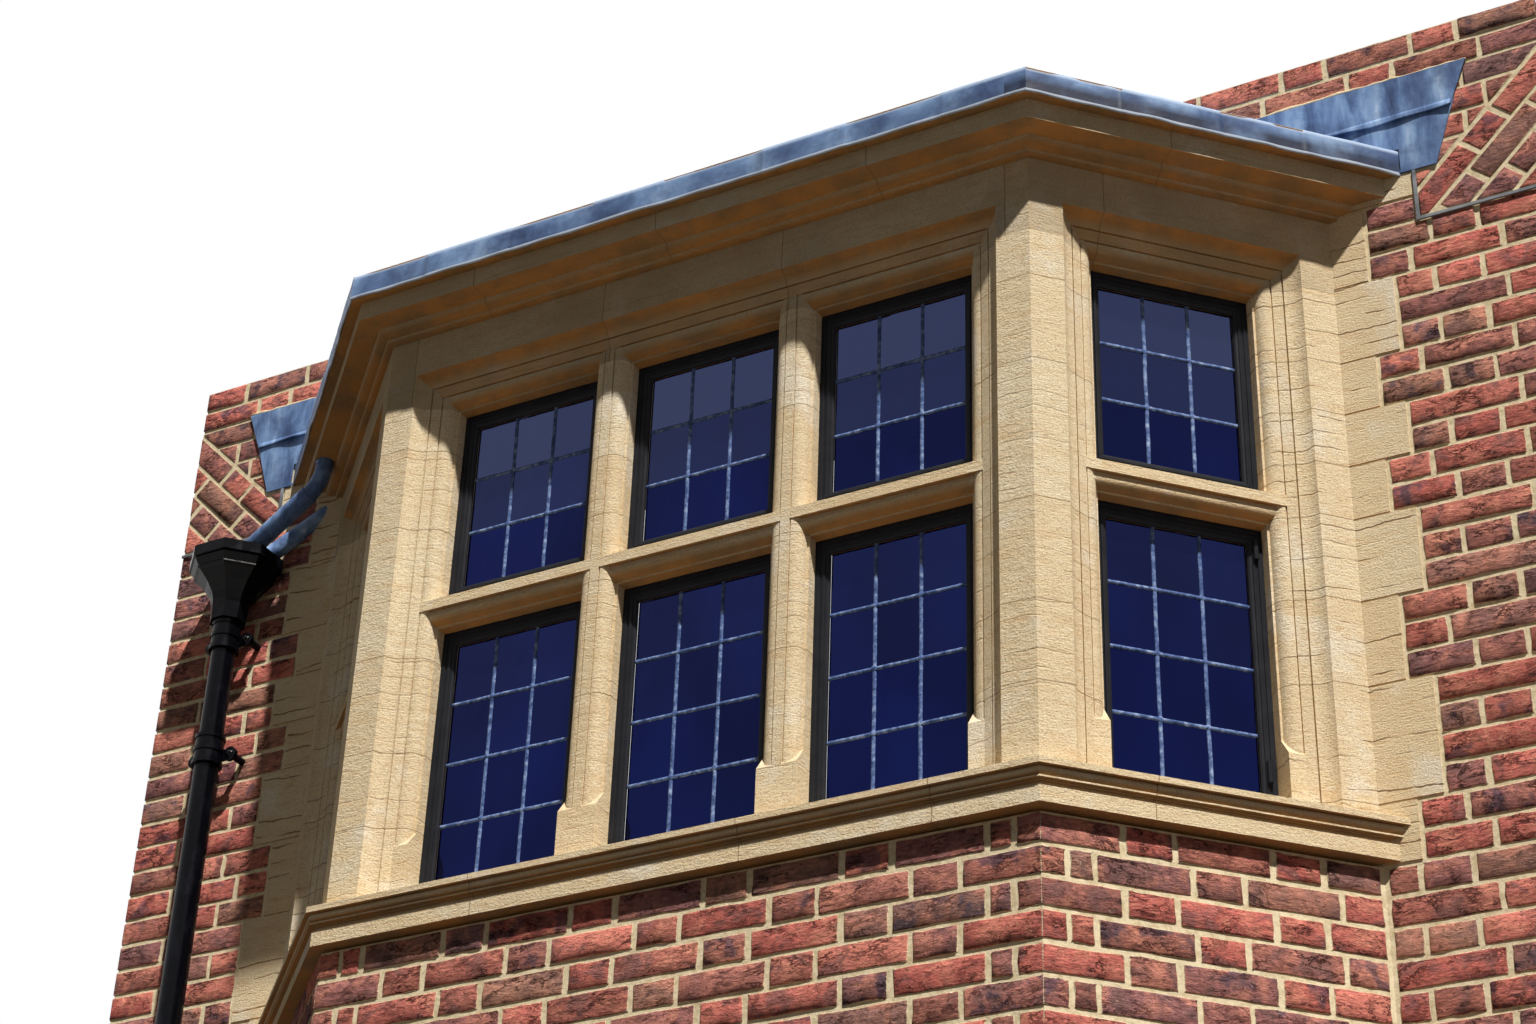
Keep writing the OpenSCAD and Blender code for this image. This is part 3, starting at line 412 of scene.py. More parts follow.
def glass_material(look):
    """Window glass as it shows from outside: a tinted near mirror whose deep blue is a painted
    reflection of the blue sky, with each pane's own tone, and greyer at the head of a light as a
    painted reflection of the stone head."""
    # Painted reflection: the glass is a near mirror tinted deep blue, so the white world shows in it as the
    # blue of the sky.
    g = Graph("window_glass", rough=0.06, metal=0.9, specular=0.3)
    tone = g.add("ShaderNodeAttribute", "Color", attribute_name="tone")
    share, grey = (g.add("ShaderNodeSeparateColor", i, {0: tone}) for i in range(2))
    cloud = g.noise(3.0, 2.0, 0.5, place=g.stretch(1.0, 1.0, 0.6), twist=0.5)
    cloud = g.ramp(cloud, [(0.35, 0.0), (0.75, 0.7)])
    colour = g.mix(cloud, opaque(look.glass), tint(18, 30, 88))
    colour = g.wash(colour, share, 0.5, tint(9, 12, 42))
    # Painted reflection of the stone head: panes with a grey share in their tone are mixed towards grey.
    colour = g.mix(grey, colour, tint(58, 66, 98))
    return g.done(colour, None, g.bump(g.noise(5.0, 1.0), 0.0006, 0.25))


def plaster_material(name, colour):
    """Trowelled plaster: near plain, with faint sweeps."""
    g = Graph(name, rough=0.9, specular=0.2)
    sweep = g.noise(4.0, 4.0, 0.6, twist=1.0)
    shade = g.wash(colour, sweep, 0.25, tint(206, 198, 182))
    return g.done(shade, None, g.bump(g.noise(30.0, 3.0, 0.5, twist=0.6), 0.0010, 0.5))


def boards_material():
    """Planed floorboards that run along X: one tone for each board, dark gaps and long grain."""
    g = Graph("floor_boards", rough=0.5, specular=0.4)
    across = g.times(g.axis("Y"), 1.0 / 0.14)
    board = g.math("FLOOR", across)
    gap = g.math("LESS_THAN", g.math("FRACT", across), 0.025)
    chance = g.add("ShaderNodeTexWhiteNoise", "Value", {"W": board}, noise_dimensions="1D")
    grain = g.noise(9.0, 5.0, 0.65, place=g.stretch(0.5, 7.0, 7.0), twist=0.8)
    colour = g.ramp(g.math("MULTIPLY_ADD", chance, 0.4, g.times(grain, 0.6)),
                    [(0.2, tint(120, 84, 52)), (0.5, tint(158, 116, 74)), (0.8, tint(188, 148, 100))])
    colour = g.mix(gap, colour, tint(38, 28, 20))
    normal = g.bump(gap, -0.002)
    return g.done(colour, None, g.bump(grain, 0.0008, 0.5, normal))


def rough_material(name, dark, pale, scale):
    """Plain rough stuff such as concrete or sawn timber: two tones and a gritty surface."""
    g = Graph(name, rough=0.9, specular=0.2)
    spread = g.noise(scale * 0.3, 5.0, 0.65)
    colour = g.ramp(spread, [(0.3, dark), (0.7, pale)])
    return g.done(colour, None, g.bump(g.noise(scale * 4, 4.0, 0.7), 0.0015, 0.7))


# Meshes

def add_piece(name, points, faces, materials, swaps=(), tones=None, kinds=None, smooth=True):
    """Makes one piece from points and faces, with its materials, its tones and what it stands for."""
    mesh = bpy.data.meshes.new(name)
    mesh.from_pydata(points.tolist(), [], faces)
    for material in materials:
        mesh.materials.append(material)
    if kinds is not None:
        mesh.polygons.foreach_set("material_index", np.asarray(kinds, dtype=np.int32))
    smooth = np.full(len(mesh.polygons), smooth)
    mesh.polygons.foreach_set("use_smooth", smooth)
    if smooth.any() and not smooth.all():
        # Sharp edges round the flat faces keep their direction out of the smooth faces beside them.
        edges, corners = np.empty(len(mesh.loops), np.int32), np.empty(len(mesh.polygons), np.int32)
        mesh.loops.foreach_get("edge_index", edges)
        mesh.polygons.foreach_get("loop_total", corners)
        sharp = np.zeros(len(mesh.edges), bool)
        sharp[edges[np.repeat(~smooth, corners)]] = True
        mesh.edges.foreach_set("use_edge_sharp", sharp)
    if tones is not None:
        layer = mesh.attributes.new("tone", "FLOAT_COLOR", "POINT")
        layer.data.foreach_set("color", np.asarray(tones, dtype=np.float32).ravel())
    mesh.update()
    piece = bpy.data.objects.new(name, mesh)
    bpy.context.scene.collection.objects.link(piece)
    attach(piece, "root")
    if swaps:
        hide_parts(*swaps)
    return piece


class Heap:
    """Collects shapes into one mesh: points, faces and tones. The last faces of a shape, as many as
    flat says, stay flat where the rest of the piece is smooth."""

    def __init__(self):
        self.points, self.faces, self.tones, self.smooth, self.count = [], [], [], [], 0

    def put(self, points, faces, tones=None, flat=0):
        points = np.asarray(points, float).reshape(-1, 3)
        self.faces += [[i + self.count for i in face] for face in faces]
        self.smooth += [True] * (len(faces) - flat) + [False] * flat
        self.points.append(points)
        self.tones.append(np.zeros((len(points), 4)) if tones is None else tones)
        self.count += len(points)

    def piece(self, name, materials, slot, swaps=(), smooth=True):
        return add_piece(name, np.concatenate(self.points), self.faces, materials, swaps,
                         tones=np.concatenate(self.tones), smooth=np.array(self.smooth) & smooth)


def grid_faces(rows, columns, closed_rows=False, closed_columns=False):
    """Quads of a grid of points stored row by row; a closed way joins its last line to its first."""
    i = np.arange(rows if closed_rows else rows - 1)[:, None]
    j = np.arange(columns if closed_columns else columns - 1)[None, :]
    i2, j2 = (i + 1) % rows, (j + 1) % columns
    quads = np.stack([i * columns + j, i2 * columns + j, i2 * columns + j2, i * columns + j2], -1)
    return quads.reshape(-1, 4)


def tube_faces(rows, columns, right_handed=False):
    """Faces of a closed tube: quads between its rings of points and a flat cap on each end. They face
    outwards where the rings run left-handed about the way from the first ring to the last, and
    right_handed turns them over for rings that run the other way."""
    last = (rows - 1) * columns
    faces = grid_faces(rows, columns, closed_columns=True).tolist()
    faces += [list(range(columns)), list(range(last, last + columns))[::-1]]
    return [face[::-1] for face in faces] if right_handed else faces


def cap_blocks(plane, boxes, rng, arris=ARRIS, waver=0.0012, relief=0.0008, sink=SUNK, sit=0.0,
               low=None, high=None, cut_low=0.0, cut_high=0.0, tones=None):
    """Blocks that stand in a face. Each is a grid over its box: an outer ring sunk into the bed, a ring
    on the worn arris and a face that rises and falls a little. Where a block ends on a corner of the
    building its end is cut back with the depth, so that it meets the next face's block on the mitre.
    Boxes are rows of (from, to, bed, top), and sit is how far behind the plane the faces stand."""
    boxes = np.asarray(boxes, float)
    n = len(boxes)
    a0, a1, b0, b1 = boxes.T
    rim = np.minimum(RIM, 0.25 * (a1 - a0))
    inner = a0[:, None] + rim[:, None] + (a1 - a0 - 2 * rim)[:, None] * np.linspace(0, 1, 5)[None]
    a = np.concatenate([a0[:, None], a0[:, None], inner, a1[:, None], a1[:, None]], 1)
    b = np.stack([b0, b0, b0 + RIM, (b0 + b1) / 2, b1 - RIM, b1, b1], 1)
    rows, columns = a.shape[1], b.shape[1]
    shape = (n, rows, columns)
    ga = np.broadcast_to(a[:, :, None], shape).copy()
    gb = np.broadcast_to(b[:, None, :], shape).copy()
    worn = np.zeros(shape, bool)
    worn[:, [1, -2], 1:-1] = True
    worn[:, 1:-1, [1, -2]] = True
    side = np.zeros(shape, bool)
    side[:, [0, -1], :] = True
    side[:, :, [0, -1]] = True
    depth = rng.normal(0.0, relief, shape) + rng.normal(0.0, relief, (n, 1, 1))
    depth += np.linspace(-1, 1, rows)[None, :, None] * rng.normal(0, relief, (n, 1, 1))
    depth = np.clip(depth, -0.0012, 0.0010) + sit
    depth[worn] = sit + arris * rng.uniform(0.7, 1.3, worn.sum())
    ga += np.where(worn, rng.normal(0.0, waver, shape), 0.0)
    gb += np.where(worn, rng.normal(0.0, waver, shape), 0.0)
    for grid in (ga, gb):
        grid[:, 0, :], grid[:, -1, :] = grid[:, 1, :], grid[:, -2, :]
        grid[:, :, 0], grid[:, :, -1] = grid[:, :, 1], grid[:, :, -2]
    depth[side] = sink
    for limit, end, cut, sign in ((low, a0, cut_low, 1), (high, a1, cut_high, -1)):
        if limit is None:
            continue
        meets = np.abs(end - limit) < 0.004
        flat = np.where(worn | side, 1.0, 0.0) * (sign * (ga - limit) < 0.005)
        at_end = meets[:, None, None] & (flat > 0)
        depth = np.where(at_end & worn, sit + 0.0012, depth)
        ga = np.where(at_end, limit, ga)
        mitre = (np.maximum if sign > 0 else np.minimum)(ga, limit + sign * depth * cut)
        ga = np.where(meets[:, None, None], mitre, ga)
    points = plane.at(ga, gb, depth).reshape(-1, 3)
    size = rows * columns
    index = np.arange(size).reshape(rows, columns)
    outer = np.concatenate([index[:, 0], index[-1, 1:], index[-2::-1, -1], index[0, -2:0:-1]])[::-1]
    start = (np.arange(n) * size)[:, None]
    faces = (grid_faces(rows, columns)[None] + start[:, :, None]).reshape(-1, 4).tolist()
    faces += (outer[None] + start).tolist()
    chance = rng.uniform(0, 1, (n, 4)) if tones is None else tones
    colours = np.repeat(chance, size, axis=0)
    colours[:, 3] = np.where(worn | side, 1.0, 0.0).ravel()
    return points, faces, colours


def clip(shape, normal, limit):
    """The part of a convex outline where normal . point <= limit."""
    kept = []
    for p, q in zip(shape, np.roll(shape, -1, axis=0)):
        dp, dq = normal @ p - limit, normal @ q - limit
        if dp <= 0:
            kept.append(p)
        if (dp < 0) != (dq < 0) and dp != dq:
            kept.append(p + (q - p) * dp / (dp - dq))
    return np.array(kept)


def cap_outline(heap, plane, outline, rng):
    """A block with any convex outline: a sunk ring, a worn arris, a ring on the face and a middle."""
    middle = outline.mean(0)
    inward = middle - outline
    inward /= np.maximum(np.linalg.norm(inward, axis=1, keepdims=True), 1e-6)
    rings = [outline, outline, outline + inward * 0.005]
    n = len(outline)
    face = max(rng.normal(0.0003, 0.0007), -0.001)
    depths = [np.full(n, SUNK), ARRIS * rng.uniform(0.7, 1.3, n), face + np.abs(rng.normal(0, 0.0005, n))]
    points = np.concatenate([plane.at(r[:, 0], r[:, 1], d) for r, d in zip(rings, depths)])
    points = np.concatenate([points, plane.at(middle[:1], middle[1:], np.array([face]))])
    faces = grid_faces(3, n, closed_columns=True)[:, ::-1].tolist() + [list(range(n))[::-1]]
    faces += [[2 * n + i, 2 * n + (i + 1) % n, 3 * n] for i in range(n)]
    tones = np.repeat(rng.uniform(0, 1, (1, 4)), 3 * n + 1, axis=0)
    tones[:, 3] = [1.0] * (2 * n) + [0.0] * (n + 1)
    heap.put(points, faces, tones)


def closed_course(low, high, index, lead, tail, rng):
    """One course between two ends: the lead bricks, then headers and stretchers by turns, then the
    tail bricks, with one width of joint that makes them fit. Gives rows of (from, to, bed, top)."""
    first = STRETCHER if len(lead) > 1 else HEADER
    thin = 0.012
    widths = list(lead)
    while sum(widths) + sum(tail) + first + thin * (len(widths) + len(tail)) < high - low + 0.02:
        widths.append(first)
        first = HEADER if first == STRETCHER else STRETCHER
    widths += list(tail)
    joint = (high - low - sum(widths)) / (len(widths) - 1)
    starts = low + np.concatenate([[0], np.cumsum(widths[:-1])]) + joint * np.arange(len(widths))
    return [box(a, a + w, index, rng, a > low + 0.001, a + w < high - 0.001) for a, w in zip(starts, widths)]


def box(a, b, index, rng, loose_a=True, loose_b=True):
    """A brick's place in its course, with the bricklayer's small errors."""
    e = rng.normal(0, 0.0009, 4)
    bed, top = index * COURSE + BED, (index + 1) * COURSE - BED
    return (a + e[0] * loose_a, b + e[1] * loose_b, bed + e[2], top + e[3])


def mirrored(row):
    """A row of boxes turned over the upright middle of its face."""
    return [(-b, -a, bed, top) for a, b, bed, top in row]


def course_blocks(low, high, index, rng, start, joint=JOINT):
    """One course in Flemish bond: a stretcher and a header by turns, centred over each other from
    course to course, cut at both ends with no piece under 36 mm. Gives rows of (from, to, bed, top)."""
    pair = STRETCHER + HEADER + 2 * joint
    first = start + (index % 2) * pair / 2
    begin = math.floor((low - first) / pair) - 1
    cells = []
    for i in range(begin, begin + int((high - low) / pair) + 4):
        s = first + i * pair
        cells += [[s, s + STRETCHER], [s + STRETCHER + joint, s + STRETCHER + joint + HEADER]]
    kept = [[max(a, low), min(b, high)] for a, b in cells if b > low + 0.012 and a < high - 0.012]
    least = 0.036
    if len(kept) > 1 and kept[0][1] - kept[0][0] < least:
        kept = kept[1:]
    if len(kept) > 1 and kept[-1][1] - kept[-1][0] < least:
        kept = kept[:-1]
    kept[0][0], kept[-1][1] = low, high
    return [box(a, b, index, rng, a > low, b < high) for a, b in kept]


def inset_copy(name, node, planes, materials, pick):
    """A copy of a solid's mesh with each corner slid back by the recess of every plane that it lies
    on, all at once: the least shift whose share along each plane's normal is that recess. Pick gives
    each face its material from its direction and middle."""
    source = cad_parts[node].data
    count = len(source.vertices)
    points = np.empty(count * 3)
    source.vertices.foreach_get("co", points)
    points = points.reshape(-1, 3)
    normals = np.array([p[0] for p in planes], float)
    limits = np.array([p[1] for p in planes])
    recess = np.array([p[2] for p in planes])
    on = np.abs(points @ normals.T - limits) < 1e-4
    moved = points.copy()
    for key in np.unique(on, axis=0):
        if key.any():
            rows = (on == key).all(1)
            moved[rows] += np.linalg.pinv(normals[key]) @ -recess[key]
    faces = [list(p.vertices) for p in source.polygons]
    corners = points[np.array(faces)[:, :3]]
    facing = np.cross(corners[:, 1] - corners[:, 0], corners[:, 2] - corners[:, 0])
    facing /= np.maximum(np.linalg.norm(facing, axis=1, keepdims=True), 1e-12)
    kinds = pick(facing, corners.mean(1))
    return add_piece(name, moved, faces, materials, (node,), kinds=kinds, smooth=False)


def ring_frame(plane, centre, low, high, half, profile):
    """A closed section of (inward, depth) points carried round a rectangle with mitred corners."""
    t, d = np.array(profile).T
    a = centre + np.stack([t - half, half - t, half - t, t - half], 1)
    b = np.stack([low + t, low + t, high - t, high - t], 1)
    points = plane.at(a, b, np.broadcast_to(d[:, None], a.shape))
    return points.reshape(-1, 3), grid_faces(len(t), 4, True, True).tolist()


def round_bar(start, end, stops):
    """A closed round bar whose radius follows stops, a list of (place from 0 to 1, radius)."""
    start, end = np.array(start, float), np.array(end, float)
    way = (end - start) / np.linalg.norm(end - start)
    side = np.cross(way, (0, 0, 1) if abs(way[2]) < 0.9 else (1, 0, 0))
    side /= np.linalg.norm(side)
    other = np.cross(way, side)
    stops, sides = np.array(stops, float), 12
    angle = np.linspace(0, 2 * math.pi, sides, endpoint=False)
    circle = np.cos(angle)[:, None] * side + np.sin(angle)[:, None] * other
    points = start + stops[:, :1, None] * (end - start) + stops[:, 1:, None] * circle[None]
    return points.reshape(-1, 3), tube_faces(len(stops), sides, True)


def assign(node, material):
    """Gives a solid its finish; its mesh stays as it is."""
    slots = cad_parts[node].data.materials
    if len(slots):
        slots[0] = material
    else:
        slots.append(material)


def kept_material(name, make, *settings):
    """The material of that name, made first if it is not there."""
    return bpy.data.materials.get(name) or make(*settings)


# Settings that a user would change

class BrickLook(bpy.types.PropertyGroup):
    brick_red: FloatVectorProperty(name="Red brick", description="Main colour of the bricks",
                                   subtype="COLOR", default=tint(188, 80, 62)[:3])
    brick_brown: FloatVectorProperty(name="Brown brick", description="Second colour of the bricks",
                                     subtype="COLOR", default=tint(172, 98, 78)[:3])
    mortar: FloatVectorProperty(name="Mortar", description="Colour of the lime mortar",
                                subtype="COLOR", default=tint(238, 222, 188)[:3])
    recess: FloatProperty(name="Joint recess", description="Depth of the mortar behind the brick faces",
                          default=0.0034, min=0.001, max=0.01, subtype="DISTANCE", unit="LENGTH")


class StoneLook(bpy.types.PropertyGroup):
    stone_pale: FloatVectorProperty(name="Pale stone", description="Lighter tone of the limestone",
                                    subtype="COLOR", default=tint(243, 229, 198)[:3])
    stone_honey: FloatVectorProperty(name="Honey stone", description="Deeper tone of the limestone",
                                     subtype="COLOR", default=tint(228, 199, 154)[:3])


class WindowLook(bpy.types.PropertyGroup):
    # The glass colour is a painted reflection of the blue sky, used as the tint of a near mirror.
    glass: FloatVectorProperty(name="Glass", description="Colour of the window glass",
                               subtype="COLOR", default=tint(11, 19, 64)[:3])
    came_w: FloatProperty(name="Came width", description="Width of a lead came", default=0.0105,
                          min=0.006, max=0.02, subtype="DISTANCE", unit="LENGTH")


class LeadLook(bpy.types.PropertyGroup):
    bay: FloatProperty(name="Sheet width", description="Distance between the laps of the drip",
                       default=0.29, min=0.15, max=0.6, subtype="DISTANCE", unit="LENGTH")


class PieceOperator:
    """What every step here shares."""
    bl_options = {"REGISTER", "UNDO"}


class BAY_OT_mortar(PieceOperator, bpy.types.Operator):
    """Sets the mortar behind the bricks, and the plaster on the room side"""
    bl_idname = "bay.mortar"
    bl_label = "Mortar bed"

    def execute(self, context):
        look = context.scene.bay_brick
        mortar = kept_material("lime_mortar", mortar_material, look)
        plaster = plaster_material("wall_plaster", tint(228, 222, 208))
        recess = look.recess
        front, right, left = ((p.out, p.out @ p.origin, recess) for p in (FRONT, RIGHT, LEFT))
        wall = (vec(0, -1, 0), 0.0, recess)
        butt = (vec(0, 1, 0), 0.0, -recess)
        ends = [(vec(x, 0, 0), STRIP_X, recess + 0.001) for x in (1, -1)] + [(vec(0, 0, 1), WALL_Z, recess)]

        def outside(planes):
            """Mortar on the faces that lie on the planes and underneath, and plaster on all others."""
            def pick(facing, centre):
                kinds = np.ones(len(facing), int)
                for normal, limit, _ in planes:
                    kinds[(facing @ normal > 0.9) & (np.abs(centre @ normal - limit) < 0.002)] = 0
                kinds[facing[:, 2] < -0.9] = 0
                return kinds
            return pick

        for node, planes in (("apron_front", [front, right, left]), ("apron_right", [right, front, butt]),
                             ("apron_left", [left, front, butt]), ("house_wall_right", [wall] + ends),
                             ("house_wall_left", [wall] + ends), ("house_wall_over", [wall] + ends)):
            inset_copy(node + "_mortar", node, planes, [mortar, plaster], outside(planes))
        return {"FINISHED"}


class BAY_OT_apron_bricks(PieceOperator, bpy.types.Operator):
    """Lays the bricks of the apron under the sill, mitred at the two squint corners"""
    bl_idname = "bay.apron_bricks"
    bl_label = "Apron bricks"

    def execute(self, context):
        clay = kept_material("fired_clay", brick_material, context.scene.bay_brick)
        half, cant, stop = FRONT_W / 2, CANT_W / 2, CANT_W / 2 - 0.010
        # One tone for both faces of each brick that turns a corner, and the bricks that even and odd
        # courses have at the corner and at the wall.
        turned = np.random.default_rng(17).uniform(0, 1, (2, APRON_COURSES, 4))
        at_corner, at_wall = ((0.183,), (0.056, 0.048)), ((0.092,), (0.130,))
        faces = (("front", FRONT, -half, half, 11), ("right", RIGHT, -cant, stop, 12),
                 ("left", LEFT, -stop, cant, 13))
        for name, plane, low, high, seed in faces:
            rng = np.random.default_rng(seed)
            boxes, tones = [], []
            for k in range(APRON_COURSES):
                if name == "front":
                    row = closed_course(low, high, k, at_corner[k % 2], at_corner[k % 2][::-1], rng)
                else:
                    row = closed_course(-cant, stop, k, at_corner[1 - k % 2], at_wall[k % 2], rng)
                    if name == "left":
                        row = mirrored(row[::-1])
                chance = rng.uniform(0, 1, (len(row), 4))
                if name != "right":
                    chance[-1 if name == "left" else 0] = turned[0, k]
                if name != "left":
                    chance[0 if name == "right" else -1] = turned[1, k]
                boxes += row
                tones.append(chance)
            heap = Heap()
            heap.put(*cap_blocks(plane, boxes, rng, cut_low=HALF_MITRE, cut_high=HALF_MITRE,
                                 low=low if name != "left" else None, high=high if name != "right" else None,
                                 tones=np.concatenate(tones)))
            heap.piece(f"apron_{name}_bricks", [clay], "brickwork")
        return {"FINISHED"}


class BAY_OT_wall_bricks(PieceOperator, bpy.types.Operator):
    """Lays the bricks of the house wall: level courses beside the quoins and over the flashing,
    tumbled courses between them, and the ends and top where the strip is cut"""
    bl_idname = "bay.wall_bricks"
    bl_label = "Wall bricks"

    def execute(self, context):
        clay = kept_material("fired_clay", brick_material, context.scene.bay_brick)
        for side, sign, seed in (("right", 1, 21), ("left", -1, 22)):
            rng = np.random.default_rng(seed)
            corner = dict(high=STRIP_X, cut_high=1.0) if sign > 0 else dict(low=-STRIP_X, cut_low=1.0)
            heap = Heap()
            heap.put(*cap_blocks(WALL, self.beside_quoins(sign, rng), rng, **corner))
            self.cut_end(heap, sign, rng)
            self.tumble(heap, sign, rng)
            heap.piece(f"house_wall_{side}_bricks", [clay], "brickwork")
        rng = np.random.default_rng(23)
        heap = Heap()
        over = [brick for k in range(COVER, WALL_COURSES)
                for brick in course_blocks(-STRIP_X, STRIP_X, k, rng, BOND_X)]
        heap.put(*cap_blocks(WALL, over, rng, low=-STRIP_X, high=STRIP_X, cut_low=1.0, cut_high=1.0))
        tops, reach = [], STRIP_X - 0.004
        for row in range(3):
            near = 0.1115 * row
            for a, b, _, _ in course_blocks(-reach, reach, row, rng, 0.02 + 0.1 * row, 0.012):
                tops.append((a, b, near + 0.004, near + 0.102))
        heap.put(*cap_blocks(TOP, tops, rng, sit=0.0013))
        heap.piece("house_wall_over_bricks", [clay], "brickwork")
        return {"FINISHED"}

    def beside_quoins(self, sign, rng):
        """The level courses from the toothed quoins to the cut end, and one more as far as the arm."""
        boxes = []
        for k in range(SHOULDER + 1):
            tooth = next((width for first, last, width in QUOIN_COURSES if first <= k < last), 0.0)
            end = STRIP_X if k < SHOULDER else ARM_X - 0.006
            row = course_blocks(CORNER_X + tooth + 0.010, end, k, rng, BOND_X)
            boxes += row if sign > 0 else mirrored(row)
        return boxes

    def cut_end(self, heap, sign, rng):
        """The bricks on the end where the strip is cut: a header or a stretcher by turns at the face,
        and one brick over the rest of the thickness."""
        half = WALL_T / 2
        rows = []
        for k in range(WALL_COURSES):
            near = -half + (0.103 if k % 2 else 0.213)
            first = box(-half, near, k, rng, False)
            second = box(near + 0.0145, half, k, rng, True, False)
            rows += [first, second] if sign > 0 else mirrored([second, first])
        heap.put(*cap_blocks(END_RIGHT if sign > 0 else END_LEFT, rows, rng, sit=0.0013, low=-half, high=half,
                             cut_low=float(sign > 0), cut_high=float(sign < 0)))

    def tumble(self, heap, sign, rng):
        """Courses that rise outwards at 45 degrees up to a slanting line, and level courses above it,
        each brick cut to the field that it fills."""
        x_low, x_high = (ARM_X + 0.008, STRIP_X) if sign > 0 else (-STRIP_X, -ARM_X - 0.008)
        field = [(np.array([1.0, 0.0]), x_high), (np.array([-1.0, 0.0]), -x_low),
                 (np.array([0.0, 1.0]), FIELD_Z[1]), (np.array([0.0, -1.0]), -FIELD_Z[0])]
        across = np.array([-sign, 1.0]) / math.sqrt(2)
        along = np.array([sign, 1.0]) / math.sqrt(2)
        foot = np.array([sign * FIELD_FOOT[0], FIELD_FOOT[1]])
        line = across @ foot
        for k in range(SHOULDER, COVER):
            for a, b, bed, top in course_blocks(ARM_X, STRIP_X + 0.1, k, rng, BOND_X):
                cell = np.array([(a * sign, bed), (b * sign, bed), (b * sign, top), (a * sign, top)])
                self.cut(heap, cell, field + [(-across, -line - 0.008)], rng)
        pair, narrow = STRETCHER + HEADER + 2 * JOINT, 0.103
        for i in range(1, 9):
            bed = line - i * COURSE + BED
            top = bed + COURSE - 2 * BED
            for j in range(-3, 6):
                begin = j * pair + (i % 2) * pair / 2 + 0.06
                middle = begin + STRETCHER + JOINT
                for a, b in ((begin, begin + STRETCHER), (middle, middle + narrow)):
                    outline = np.array([(a, bed), (b, bed), (b, top), (a, top)])
                    cell = outline[:, :1] * along + outline[:, 1:] * across + along * (along @ foot)
                    self.cut(heap, cell, field + [(across, line - 0.004)], rng)

    def cut(self, heap, cell, limits, rng):
        """Lays what is left of a brick inside all the limits, unless that is only a sliver."""
        for normal, limit in limits:
            if len(cell) > 2:
                cell = clip(cell, normal, limit)
        if len(cell) < 3:
            return
        x, y = cell.T
        area = 0.5 * np.sum(x * np.roll(y, -1) - y * np.roll(x, -1))
        if abs(area) > 0.0006:
            cap_outline(heap, WALL, cell if area > 0 else cell[::-1], rng)


class BAY_OT_stone(PieceOperator, bpy.types.Operator):
    """Finishes the stonework: tone, bedding, tooling and joints of each group of stones"""
    bl_idname = "bay.stone"
    bl_label = "Stonework"

    def execute(self, context):
        look = context.scene.bay_stone
        steps = [k * COURSE + 0.0025 for k, _, _ in QUOIN_COURSES[1:]]
        groups = [
            ("pier_stone", "Z", 0.0, (1.222, 1.430, 1.700, 2.086, 2.330), 0.02, 0.22, 0.0,
             ("corner_pier_left", "corner_pier_right")),
            ("jamb_stone", "Z", 0.0, steps[:-1], 0.05, 0.50, 0.0, ("wall_jamb_left", "wall_jamb_right")),
            ("mullion_stone", "Z", 0.0, (1.480, 1.798, 2.170), 0.02, 0.20, 0.0,
             ("mullion_left", "mullion_right")),
            ("quoin_stone", "Z", 0.0, steps, 0.12, 0.80, 0.0, ("quoins_left", "quoins_right")),
            ("transom_stone", "X", 0.0, (-0.27, 0.27), 0.10, 0.15, 0.0,
             ("transom_front", "transom_left", "transom_right"))]
        for part, front, cant, warmth, beds, grey in (
                ("head", (-0.86, -0.27, 0.26, 0.88), 0.46, 0.14, 0.15, 0.50),
                ("cornice", (-0.62, -0.06, 0.55), 0.60, 0.16, 0.20, 0.35),
                ("sill", (-0.50, 0.22, 0.70), 0.52, 0.06, 0.12, 0.0)):
            groups.append((part + "_stone", "X", 0.0, front, warmth, beds, grey, (part + "_front",)))
            for side, sign in (("right", 1), ("left", -1)):
                groups.append((f"{side}_{part}_stone", "X", -sign * TURN, (sign * cant,), warmth, beds, grey,
                               (f"{part}_{side}",)))
        for name, axis, turn, joints, warmth, beds, grey, nodes in groups:
            material = stone_material(name, look, axis, turn, joints, warmth, beds, grey)
            for node in nodes:
                assign(node, material)
        return {"FINISHED"}


